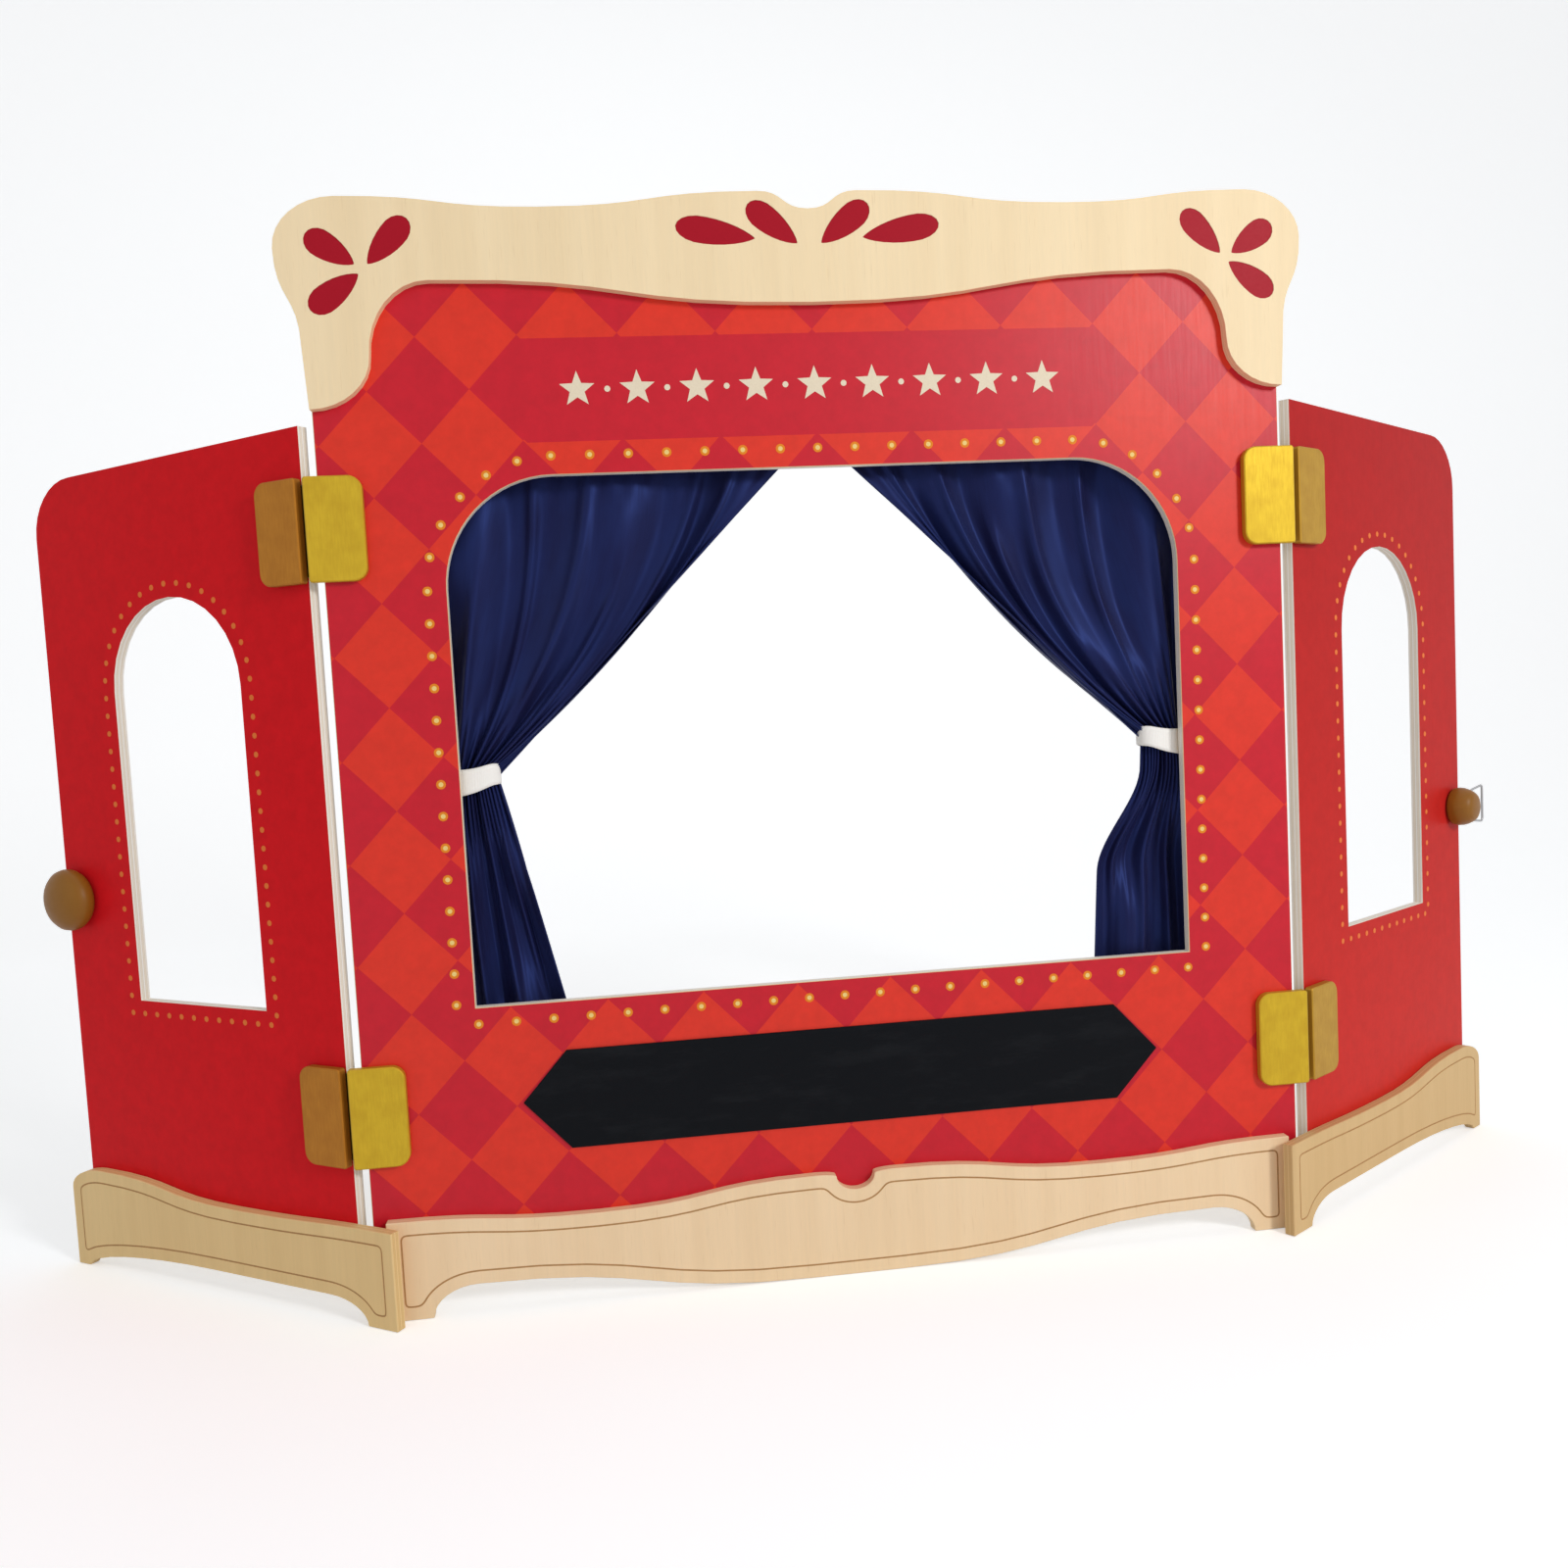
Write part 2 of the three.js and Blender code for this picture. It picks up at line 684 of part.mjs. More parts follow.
// Heights of the curtain from its pocket to the hem, with the cloth's reach, thickness and depth of fold
// at each
function curtain_rows() {
  const mix = THREE.MathUtils.lerp;
  const rows = [];
  for (let i = 0; i <= upper_rows; i++) {
    const t = i / upper_rows;
    rows.push({
      z: mix(curtain_top_z, waist_top_z, t),
      inner: mix(curtain_meet_x, waist_inner_x, t ** draw_power),
      outer: mix(curtain_side_x, waist_outer_x, t ** gather_power),
      half: mix(cloth_half_thickness, waist_half_thickness, t ** gather_power),
      depth: i === 0 ? pocket_fold_depth : mix(fold_depth, waist_fold_depth, t ** calm_power),
    });
  }
  for (let i = 0; i <= lower_rows; i++) {
    const t = i / lower_rows;
    const spread = 1 - (1 - t) ** gather_power;
    rows.push({
      z: mix(waist_bottom_z, curtain_hem_z, t),
      inner: mix(waist_inner_x, curtain_hem_inner_x, 1 - (1 - t) ** flare_power),
      outer: mix(waist_outer_x, curtain_side_x, spread),
      half: mix(waist_half_thickness, cloth_half_thickness, spread),
      depth: mix(waist_fold_depth, hem_fold_depth, t),
    });
  }
  return rows;
}

// Round bar along x, from the curtain's inner edge to its outer one, at the height of the rod
function rod_length_bar(radius, spare) {
  const x_near = curtain_meet_x - spare;
  const length = curtain_side_x + spare - x_near;
  const geometry = new THREE.CylinderGeometry(radius, radius, length, round_sides);
  geometry.rotateZ(Math.PI / 2);
  geometry.translate(x_near + length / 2, rod_y, rod_z);
  return solid(geometry);
}

// One curtain: a folded sheet with a front and a back, gathered into a bundle at its waist, below a pocket
// that the rod passes through
function curtain() {
  const rows = curtain_rows();
  const columns = curtain_folds * fold_steps;
  const positions = [];
  const faces = [];
  for (const row of rows)
    for (let c = 0; c <= columns; c++) {
      const share = c / columns;
      const x = THREE.MathUtils.lerp(row.outer, row.inner, share);
      const y = curtain_mid_y + row.depth * Math.sin(share * curtain_folds * Math.PI * 2);
      positions.push(x, y - row.half, row.z, x, y + row.half, row.z);
    }
  const front = (r, c) => (r * (columns + 1) + c) * 2;
  const back = (r, c) => front(r, c) + 1;
  const quad = (a, b, c, d) => faces.push(a, b, c, a, c, d);
  const last = rows.length - 1;
  for (let r = 0; r < last; r++) {
    for (let c = 0; c < columns; c++) {
      quad(front(r, c), front(r, c + 1), front(r + 1, c + 1), front(r + 1, c));
      quad(back(r, c), back(r + 1, c), back(r + 1, c + 1), back(r, c + 1));
    }
    quad(front(r, 0), front(r + 1, 0), back(r + 1, 0), back(r, 0));
    quad(front(r, columns), back(r, columns), back(r + 1, columns), front(r + 1, columns));
  }
  for (let c = 0; c < columns; c++) {
    quad(front(0, c), back(0, c), back(0, c + 1), front(0, c + 1));
    quad(front(last, c), front(last, c + 1), back(last, c + 1), back(last, c));
  }
  const geometry = new THREE.BufferGeometry();
  geometry.setAttribute("position", new THREE.Float32BufferAttribute(positions, 3));
  geometry.setIndex(faces);
  const pocket = rod_length_bar(pocket_radius, 0);
  const bore = rod_length_bar(pocket_bore_radius, overrun);
  return shaped(solid(geometry).add(pocket).subtract(bore));
}

// Outline of the tie-back's loop seen from above, round the curtain's waist
function draw_tie(path, grow) {
  const half = waist_half_thickness + waist_fold_depth + tie_clearance + grow;
  const near = waist_inner_x - tie_clearance - grow;
  const nose = waist_outer_x + tie_nose + grow;
  path.moveTo(near - tie_bulge, curtain_mid_y);
  bend(path, near + tie_bulge, curtain_mid_y - half, "upright", "level");
  path.lineTo(waist_outer_x, curtain_mid_y - half);
  bend(path, nose, curtain_mid_y, "level", "upright");
  bend(path, waist_outer_x, curtain_mid_y + half, "upright", "level");
  path.lineTo(near + tie_bulge, curtain_mid_y + half);
  bend(path, near - tie_bulge, curtain_mid_y, "level", "upright");
}

// Ribbon loop with a flat tab at its outer end, which has an eyelet for the peg
function tie_back() {
  const shape = new THREE.Shape();
  draw_tie(shape, tie_thickness);
  const hole = new THREE.Path();
  draw_tie(hole, 0);
  shape.holes.push(hole);
  const geometry = new THREE.ExtrudeGeometry(shape, {
    depth: tie_height - seat_gap * 2,
    bevelEnabled: false,
    curveSegments: curve_steps,
  });
  const middle_z = (waist_top_z + waist_bottom_z) / 2;
  const low = middle_z - tie_height / 2 + seat_gap;
  const high = middle_z + tie_height / 2 - seat_gap;
  geometry.translate(0, 0, low);
  const tab_near = waist_outer_x + tie_nose;
  const rear = curtain_mid_y + tie_thickness;
  const tab = block(tab_near, peg_x + tie_tab_reach, curtain_mid_y - tie_thickness, rear, low, high);
  const eyelet = level_bar(peg_radius + tie_clearance, panel_rear_y, rear + overrun);
  eyelet.translate(peg_x, 0, middle_z);
  return shaped(solid(geometry).add(solid(tab)).subtract(solid(eyelet)));
}

// Peg with a round head, standing out of the panel's rear face through the eyelet of the tie-back
function tie_peg() {
  const neck = curtain_mid_y + tie_thickness + peg_spare;
  const points = [
    [0, panel_rear_y],
    [peg_radius, panel_rear_y],
    [peg_radius, neck],
    [peg_head_radius, neck + peg_head_height / 3],
    [peg_head_radius, neck + (peg_head_height * 2) / 3],
    [peg_radius, neck + peg_head_height],
    [0, neck + peg_head_height],
  ];
  const geometry = new THREE.LatheGeometry(points.map(([r, y]) => new THREE.Vector2(r, y)), round_sides / 2);
  geometry.translate(peg_x, 0, (waist_top_z + waist_bottom_z) / 2);
  return geometry;
}

const theatre = new THREE.Group();
add(theatre, "main_panel", screen_panel(), harlequin);
add(theatre, "crest_board", crest(), crest_ply);
add(theatre, "base_board", screen_base(), ply);
add(theatre, "chalkboard_strip", chalkboard(), chalk_black);
add(theatre, "curtain_rod", curtain_rod(), beech);

for (const [side, name] of [
  [-1, "left"],
  [1, "right"],
]) {
  // What hangs behind the screen
  for (const [part, geometry, material] of [
    ["rod_bracket", rod_bracket(), beech],
    ["curtain", curtain(), satin],
    ["tie_back", tie_back(), ribbon],
    ["tie_peg", tie_peg(), beech],
  ])
    add(theatre, part + "_" + name, geometry, material).scale.x = side;

  const wing = new THREE.Group();
  wing.position.set(side * pin_x, pin_y, 0);
  wing.rotation.z = side * wing_fold;
  wing.scale.x = side;
  theatre.add(wing);
  add(wing, "wing_panel_" + name, wing_panel(), wing_red);
  add(wing, "wing_base_" + name, wing_base(), ply);

  // Hinges, each with a leaf, a pin and a cover plate on the screen, and a leaf and a plate on the wing
  hinge_z.forEach((z, i) => {
    const end = (i === 0 ? "upper_" : "lower_") + name;
    const screen_side = new THREE.Group();
    screen_side.position.set(side * pin_x, pin_y, z);
    screen_side.scale.x = -side;
    theatre.add(screen_side);
    add(screen_side, "screen_leaf_" + end, hinge_leaf(false), brass);
    add(screen_side, "hinge_pin_" + end, hinge_pin(), brass);
    add(screen_side, "screen_cover_" + end, cover_plate(half_gap - cover_overhang, -half_panel), gold);
    add(wing, "wing_leaf_" + end, hinge_leaf(true), brass).position.z = z;
    add(wing, "wing_cover_" + end, cover_plate(half_gap, -half_panel - seat_gap), gold).position.z = z;
  });

  add(wing, "knob_bolt_" + name, knob_bolt(), steel).position.set(knob_x, 0, knob_z);
  const knob = add(wing, "knob_" + name, side < 0 ? plain_knob() : bail_knob(), stained_wood);
  knob.position.set(knob_x, -half_panel - seat_gap, knob_z);
  if (side > 0) {
    const wire = add(wing, "wire_bail", bail(), steel);
    wire.position.set(knob_x + bail_hole_offset, -half_panel - seat_gap - bail_hole_height, knob_z);
  }
}

export default theatre;
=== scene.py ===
"""Finishes of a tabletop puppet theatre: printed plywood, bare plywood, gold covers, satin curtains."""

import math
from contextlib import contextmanager

import bmesh
import bpy
import numpy as np
from bpy.props import FloatProperty, FloatVectorProperty, IntProperty, PointerProperty
from mathutils import Matrix, Vector


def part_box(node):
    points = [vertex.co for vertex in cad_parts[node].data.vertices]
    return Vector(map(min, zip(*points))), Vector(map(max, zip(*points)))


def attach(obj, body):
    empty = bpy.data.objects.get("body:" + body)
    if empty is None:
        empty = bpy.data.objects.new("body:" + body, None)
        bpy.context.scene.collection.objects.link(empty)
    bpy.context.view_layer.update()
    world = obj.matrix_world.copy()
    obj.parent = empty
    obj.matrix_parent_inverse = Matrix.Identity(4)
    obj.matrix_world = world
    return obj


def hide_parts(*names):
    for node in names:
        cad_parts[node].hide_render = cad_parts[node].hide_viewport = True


bl_info = {
    "name": "Tabletop Puppet Theatre",
    "version": (1, 0, 0),
    "blender": (4, 5, 0),
    "location": "3D View > Sidebar > Theatre",
    "description": "Dresses the packed puppet theatre: prints, woods, metals, curtains and a plain stage",
    "category": "Add Mesh",
}

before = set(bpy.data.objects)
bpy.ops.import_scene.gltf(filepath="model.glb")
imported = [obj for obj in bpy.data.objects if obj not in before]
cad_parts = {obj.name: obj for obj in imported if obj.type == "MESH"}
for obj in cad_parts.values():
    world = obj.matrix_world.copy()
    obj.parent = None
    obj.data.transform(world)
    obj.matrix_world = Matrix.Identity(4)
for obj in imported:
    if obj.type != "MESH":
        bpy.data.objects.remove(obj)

MM = 0.001
SIDES = ((-1, "left"), (1, "right"))
BOX = {name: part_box(name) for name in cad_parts}


def centre(node):
    """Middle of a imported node's box."""
    return (BOX[node][0] + BOX[node][1]) / 2


# Each board has its own frame, which starts on its hinge line: X runs along the board and Y through it.
WING_FOLD = math.radians(34)
PIN_X, PIN_Y = 260.5 * MM, 6 * MM
SCREEN_FRONT = BOX["main_panel"][0].y - PIN_Y
WING_FRONT, WING_BASE_FRONT, REAR = -3 * MM, -9.3 * MM, 3 * MM
HINGE_Z = [centre(f"screen_cover_{end}_right").z for end in ("upper", "lower")]
ROD = centre("curtain_rod")
INK = 0.12 * MM

# Stage window: half width, foot, top and the radius of its upper corners.
WINDOW = (196.5 * MM, 162 * MM, 437 * MM, 57 * MM)
# Dots round a wing's window: their middle from the hinge line, and the line's half width, foot, top and pitch.
WING_DOTS_X = 108.5 * MM
WING_DOTS = (57.5 * MM, 154.5 * MM, 395.5 * MM, 10 * MM)
STAR_PITCH = 31 * MM

# Inside a wing base's foot: near and far end of the arch's slope from the hinge line, and the arch's rise.
FOOT_SLOPE = (35.9 * MM, 62.1 * MM, 13.1 * MM)

# Screws, in millimetres along the board and up; those of the leaves, above and below each hinge's middle.
SCREEN_SCREWS = [(x, 35) for x in (-200, -100, 0, 100, 200)]
SCREEN_SCREWS += [(x, 551) for x in (-228, -125, 125, 228)] + [(0, 538)]
WING_SCREWS = ((40, 36), (115, 34), (190, 37))
SCREEN_LEAF_X, WING_LEAF_X, LEAF_SCREW_RISE = 245.5 * MM, 15 * MM, 13 * MM

# Half sections of the turned knobs, as radius and height in millimetres, and of the hole for the bolt.
KNOB_U, KNOB_SEAT = 205.5 * MM, 3.3 * MM
KNOB_HOLE = ((0, 8.2), (2.15, 8.2), (2.15, 0))
LEFT_KNOB = (
    (13.4, 0), (16.0, 1.2), (17.5, 3.4), (18.0, 6.0), (17.3, 8.8), (15.0, 11.4), (11.4, 13.4), (6.4, 14.6), (0, 15)
)
RIGHT_KNOB = (
    (10.2, 0), (11.8, 1.4), (12.5, 4.4), (12.2, 7.2), (11.3, 10.0), (9.9, 12.6), (8.4, 14.2), (6.6, 15), (0, 15)
)
DRILL = ((0, -15), (1, -15), (1, 15), (0, 15))
# Wire bail: its inner and outer bar from the hinge line, its depth, their half heights and the wire's radius.
BAIL_NEAR, BAIL_FAR, BAIL_DEPTH = 214.1 * MM, 232.0 * MM, -11.3 * MM
BAIL_RISES, WIRE_RADIUS = (10 * MM, 12.2 * MM), 0.75 * MM

# Root and end of each petal, in millimetres from the middle of its motif.
CENTRE_PETALS = (((6.4, 30.0), (31.4, 49.8)), ((28.4, 32.6), (69.0, 39.4)))
CORNER_PETALS = (((-3.4, 1.8), (-23.8, 23.9)), ((3.2, 1.8), (25.8, 16.9)), ((1.5, -3.1), (25.8, -20.4)))

# Curtains: outer and inner edge at the waist, inner edge of each hem, and the rows of cloth in each stretch.
WAIST = (202 * MM, 178.4 * MM)
HEM_INNER = {-1: 148.2 * MM, 1: 144.5 * MM}
POCKET_ROWS, FALL_ROWS, SKIRT_ROWS = 12, 45, 36

# Tie-backs: the ribbon's cut and thickness, points round its loop and across it, the radius of the hole in its
# tab, and the radii of the eyelet's ring and of its rim.
RIBBON_CUT, RIBBON_THICKNESS = (80 * MM, 12.8 * MM), 0.8 * MM
LOOP_POINTS, LOOP_ROWS = 72, 7
TAB_HOLE, EYELET_RING, EYELET_RIM = 3.3 * MM, 3.9 * MM, 0.95 * MM

# Middle of the theatre, which the lamps and the camera face. Each lamp has its place, size and power.
MIDDLE = Vector((-0.024, 0.030, 0.268))
LAMPS = (
    ("key_lamp", (1.0, -1.4, 1.0), 0.35, 14.0),
    ("fill_lamp", (-1.5, -1.3, 0.9), 1.6, 2.5),
    ("top_lamp", (0.1, 0.2, 1.9), 1.8, 6.0),
)


# ---- colours and nodes


def linear(hex_colour):
    """Linear RGBA of an sRGB hex value."""
    values = [int(hex_colour[i : i + 2], 16) / 255 for i in (1, 3, 5)]
    return (*(v / 12.92 if v <= 0.04045 else ((v + 0.055) / 1.055) ** 2.4 for v in values), 1.0)


def scaled(tone, *factors):
    """The tone with its red, green and blue each times its factor."""
    return (*(min(1, c * f) for c, f in zip(tone, factors)), 1.0)


def per_size(size):
    """Texture scale whose features have about that size in millimetres."""
    return 1 / (size * MM)


def lay(tree, kind, inputs=(), **settings):
    """Add one shader node. Its inputs are named, or listed from its first socket in use. Each is a value, a
    socket, or a node that gives the first of its outputs in use."""
    made = tree.nodes.new("ShaderNode" + kind)
    for key, value in settings.items():
        setattr(made, key, value)
    if isinstance(inputs, dict):
        chosen = [(made.inputs[key], value) for key, value in inputs.items()]
    else:
        chosen = list(zip([s for s in made.inputs if s.enabled], inputs))
    for socket, value in chosen:
        if isinstance(value, bpy.types.Node):
            value = next(s for s in value.outputs if s.enabled)
        if isinstance(value, bpy.types.NodeSocket):
            tree.links.new(value, socket)
        else:
            socket.default_value = value
    return made


def blank(name):
    """New material and its empty node tree."""
    material = bpy.data.materials.new(name)
    material.use_nodes = True
    material.node_tree.nodes.clear()
    return material, material.node_tree


def surface(tree, inputs, bump=None):
    """Lay the shader and the output. Bump is a pattern, its strength and its depth in millimetres."""
    if bump:
        height, strength, depth = bump
        inputs["Normal"] = lay(tree, "Bump", {"Height": height, "Strength": strength, "Distance": depth * MM})
    lay(tree, "OutputMaterial", (lay(tree, "BsdfPrincipled", inputs),))


def own_place(tree, squeeze=None):
    """The piece's own coordinates. A pattern runs long along an axis whose factor in the squeeze is small."""
    own = lay(tree, "TexCoord").outputs["Object"]
    return lay(tree, "VectorMath", (own, squeeze), operation="MULTIPLY") if squeeze else own


def frontness(tree, side):
    """1 where a board of that side faces forwards, 0 on its edges and -1 at its rear."""
    normal = lay(tree, "TexCoord").outputs["Normal"]
    forwards = (math.sin(side * WING_FOLD), -math.cos(side * WING_FOLD), 0)
    return lay(tree, "VectorMath", (normal, forwards), operation="DOT_PRODUCT")


def blend(tree, pattern, limits, first, second):
    """Colour that turns from the first to the second while a pattern rises between two limits. Where two more
    limits follow, they are the least and the most of the second."""
    share = lay(tree, "MapRange", (pattern, *limits))
    return lay(tree, "Mix", (share, first, second), data_type="RGBA")


def seen_by_camera(tree):
    """1 for the camera's own rays, also by way of a glossy or clear surface, and 0 for light."""
    path = lay(tree, "LightPath")
    rays = (path.outputs["Is Camera Ray"], path.outputs["Is Glossy Ray"])
    first = lay(tree, "Math", rays, operation="MAXIMUM")
    return lay(tree, "Math", (first, path.outputs["Is Transmission Ray"]), operation="MAXIMUM")


# ---- what a user would change


def length(name, default, description):
    """Length whose default is given in millimetres."""
    return FloatProperty(
        name=name, description=description, default=default * MM, min=0.0, precision=4, unit="LENGTH",
        subtype="DISTANCE",
    )


def angle(name, degrees, description):
    """Angle whose default is given in degrees."""
    return FloatProperty(
        name=name, description=description, default=math.radians(degrees), unit="ROTATION", subtype="ANGLE"
    )


def colour(name, hex_colour, description):
    """Colour whose default is given as an sRGB hex value."""
    return FloatVectorProperty(
        name=name, description=description, default=linear(hex_colour), size=4, min=0.0, max=1.0, subtype="COLOR"
    )


class THEATRE_PG_boards(bpy.types.PropertyGroup):
    """Sizes and colours of the plywood boards."""

    ease: length("Eased arris", 0.35, "Width rubbed off the sharp edges of every board")
    groove_inset: length("Line inset", 7.2, "From a base board's outline to its scorched line")
    groove_width: length("Line width", 1.2, "Width of the scorched line")
    groove_depth: length("Line depth", 0.25, "Depth of the scorched line")
    crest_tone: colour("Crest", "#F8E1B8", "Bare plywood of the crest")
    base_tone: colour("Base", "#F8DCB4", "Bare plywood of the screen's base board")
    # The wing bases are the same basswood as the screen's base; their tones are painted darker, as shade, the right
    # one more.
    left_base_tone_shaded: colour("Left wing's base", "#EECF95", "Bare plywood of the left wing's base board")
    right_base_tone_shaded: colour("Right wing's base", "#DAB984", "Bare plywood of the right wing's base board")
    petal_width: length("Petal width", 13.6, "Width of the crest's petals")
    petal_depth: length("Petal depth", 0.3, "From the crest's face down to the lacquered petals")
    petal_tone: colour("Petals", "#B0182A", "Crimson lacquer of the petals")
    rear_tone: colour("Rear faces", "#E2C596", "Unprinted rear of the screen and the wings")
    cut_tone: colour("Cut edges", "#FBF6F0", "Pale cut edges of the printed boards")
    foot_shift: length("Foot carving", 41, "How far the arch of a wing's base is carried on towards the hinge")
    scorch: colour("Scorched line", "#C99C66", "Burnt wood in the line of the base boards")
    chalk: colour("Chalkboard", "#101216", "Matt paint of the chalkboard strip")


class THEATRE_PG_print(bpy.types.PropertyGroup):
    """Sizes and colours of the printed faces."""

    lozenge_width: length("Lozenge width", 51, "Width of one diamond of the harlequin print")
    lozenge_height: length("Lozenge height", 53.4, "Height of one diamond of the harlequin print")
    lozenge_foot: length("Lowest tip", 81, "Height of the tips between the two lowest rows of diamonds")
    banner_z: length("Banner height", 480, "Height of the middle of the plain banner")
    banner_half_height: length("Banner half height", 26.3, "From the banner's middle to its long edge")
    banner_half_width: length("Banner half width", 176, "From the banner's middle to its pointed end")
    bulb_radius: length("Bulb dots", 2.5, "Radius of the printed dots round the stage window")
    bulb_offset: length("Bulb margin", 9.8, "From the stage window's edge to the middle of the printed dots")
    bulb_pitch: length("Bulb spacing", 19.6, "From one printed dot to the next above and below the window")
    bulb_rise: length("Bulb rise", 16.6, "From one printed dot to the next at the window's sides")
    wing_dot_radius: length("Wing dot size", 1.6, "Radius of the dots round the wing windows")
    star_radius: length("Stars", 9.5, "From the middle of a banner star to its point")
    deep_red: colour("Deep red", "#CB172A", "Dark diamonds and the banner")
    bright_red: colour("Bright red", "#E23422", "Bright diamonds")
    # Both wings have one plain red print; the right wing's tones are painted darker towards its top, as shade.
    left_red: colour("Left wing", "#DD1A22", "Plain print of the left wing")
    right_red_shaded_top: colour("Right wing", "#B42021", "Plain print of the right wing at its top")
    right_red_foot: colour("Right wing, foot", "#D32B23", "Plain print of the right wing at its foot")
    amber: colour("Dots", "#F0902E", "Outer ring of the printed dots")
    glow: colour("Dot centres", "#FBDC8A", "Pale middle of the printed dots")
    wing_dot: colour("Wing dots", "#F0803E", "Small dots round the wing windows")
    cream: colour("Stars", "#F4E6CC", "Row of stars on the banner")


class THEATRE_PG_fittings(bpy.types.PropertyGroup):
    """Sizes and colours of the hinges, knobs, rod and screws."""

    bail_corner: length("Bail corner", 2.6, "Radius of the wire bail's corners")
    knob_sides: IntProperty(name="Knob sides", description="Faces round a turned knob", default=40, min=8, max=96)
    screw_radius: length("Screw head", 2.9, "Radius of the screw heads on the rear faces")
    gold: colour("Screen covers", "#D2B02F", "Gold paint of the hinge covers on the screen")
    # The wing covers have the same gold paint as the screen's; these two tones are that gold painted darker, as
    # shade on the wings.
    left_gold_in_shade: colour("Left wing covers", "#B87A27", "Darker gold paint of the hinge covers on the left wing")
    right_gold_in_shade: colour("Right wing covers", "#C09636", "Darker gold paint of the hinge covers on the right wing")
    knob: colour("Knobs", "#8C5D1A", "Stained wood of the knobs")
    beech: colour("Rod and pegs", "#DDBE90", "Bare beech of the rod, its brackets and the pegs")


class THEATRE_PG_cloth(bpy.types.PropertyGroup):
    """Sizes and colours of the curtains and tie-backs."""

    folds: IntProperty(name="Folds", description="Folds of each curtain", default=7, min=4, max=14)
    fold_depth: length("Fold depth", 6.0, "From a fold's middle to its crest")
    gather_depth: length("Gather depth", 2.2, "Depth of the small gathers at the waist")
    cut: FloatVectorProperty(
        name="Curtain cut", description="Width at the rod, width at the hem and length, before it is hung",
        default=(0.2, 0.11, 0.305), size=3, min=0.01, precision=3, unit="LENGTH",
    )
    thickness: length("Cloth", 0.7, "Thickness of the satin")
    navy: colour("Curtains", "#1B1C3E", "Satin of the curtains")
    ribbon: colour("Tie-backs", "#FFFDF9", "Ribbon of the tie-backs")


class THEATRE_PG_stage(bpy.types.PropertyGroup):
    """Floor, lamps and camera."""

    azimuth: angle("Azimuth", -7.0, "Camera's turn round the theatre, to its left where negative")
    elevation: angle("Elevation", 4.0, "Camera's angle above the horizon")
    roll: angle("Roll", -3.0, "Camera's tilt about its line of sight")
    distance: length("Distance", 750, "From the camera to the middle of the theatre")
    focal: FloatProperty(name="Focal length", description="Lens on a 36 mm sensor", default=31.0, min=10, max=200)
    floor: colour("Floor", "#F3F5F7", "Floor and backdrop")


# ---- helpers for meshes


def placed(side):
    """Frame of a board. Side 0 is the screen, -1 and 1 are the wings."""
    return Matrix.Translation((side * PIN_X, PIN_Y, 0)) @ Matrix.Rotation(side * WING_FOLD, 4, "Z")


@contextmanager
def edited(piece):
    """The piece's mesh, open to be changed."""
    work = bmesh.new()
    work.from_mesh(piece.data)
    yield work
    work.to_mesh(piece.data)
    work.free()


def smooth(mesh, degrees=35):
    """Round shading everywhere but across edges sharper than the angle."""
    mesh.polygons.foreach_set("use_smooth", [True] * len(mesh.polygons))
    mesh.set_sharp_from_angle(angle=math.radians(degrees))
    mesh.update()


def new_object(name, vertices, faces, body, materials, slot_name=None, solid=False, crease=None):
    """New piece from points and faces. The faces of a solid one are turned outwards. With a crease angle it is
    shaded round but for edges sharper than that."""
    mesh = bpy.data.meshes.new(name)
    mesh.from_pydata([tuple(v) for v in vertices], [], faces)
    mesh.validate()
    piece = bpy.data.objects.new(name, mesh)
    bpy.context.scene.collection.objects.link(piece)
    for material in materials:
        mesh.materials.append(material)
    if solid:
        with edited(piece) as work:
            bmesh.ops.recalc_face_normals(work, faces=work.faces)
    if crease:
        smooth(mesh, crease)
    if body:
        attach(piece, body)
    return piece


def dress(node, material):
    """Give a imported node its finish."""
    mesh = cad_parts[node].data
    mesh.materials.clear()
    mesh.materials.append(material)


def quads(rows, columns, first=0, wrapped=False):
    """Faces of a grid of points, row by row. A wrapped grid closes on itself both ways."""
    faces = []
    for r in range(rows if wrapped else rows - 1):
        here, below = first + r * columns, first + (r + 1) % rows * columns
        for c in range(columns if wrapped else columns - 1):
            on = (c + 1) % columns
            faces.append((here + c, here + on, below + on, below + c))
    return faces


def copy_of_board(node, body, material, slot_name):
    """Copy of a packed board with its flat faces whole, which stands for the node."""
    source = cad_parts[node].data
    faces = [p.vertices[:] for p in source.polygons]
    piece = new_object(node + "_finished", [v.co for v in source.vertices], faces, body, [material], slot_name)
    with edited(piece) as work:
        bmesh.ops.remove_doubles(work, verts=work.verts, dist=0.002 * MM)
        bmesh.ops.dissolve_limit(work, angle_limit=math.radians(0.3), verts=work.verts, edges=work.edges)
    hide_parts(node)
    return piece


def ease(piece, width):
    """Rub down the sharp arrises of a board."""
    with edited(piece) as work:
        sharp = [e for e in work.edges if len(e.link_faces) == 2 and e.calc_face_angle() > math.radians(50)]
        bmesh.ops.bevel(work, geom=sharp, offset=width, segments=1, affect="EDGES", clamp_overlap=True)
    smooth(piece.data)


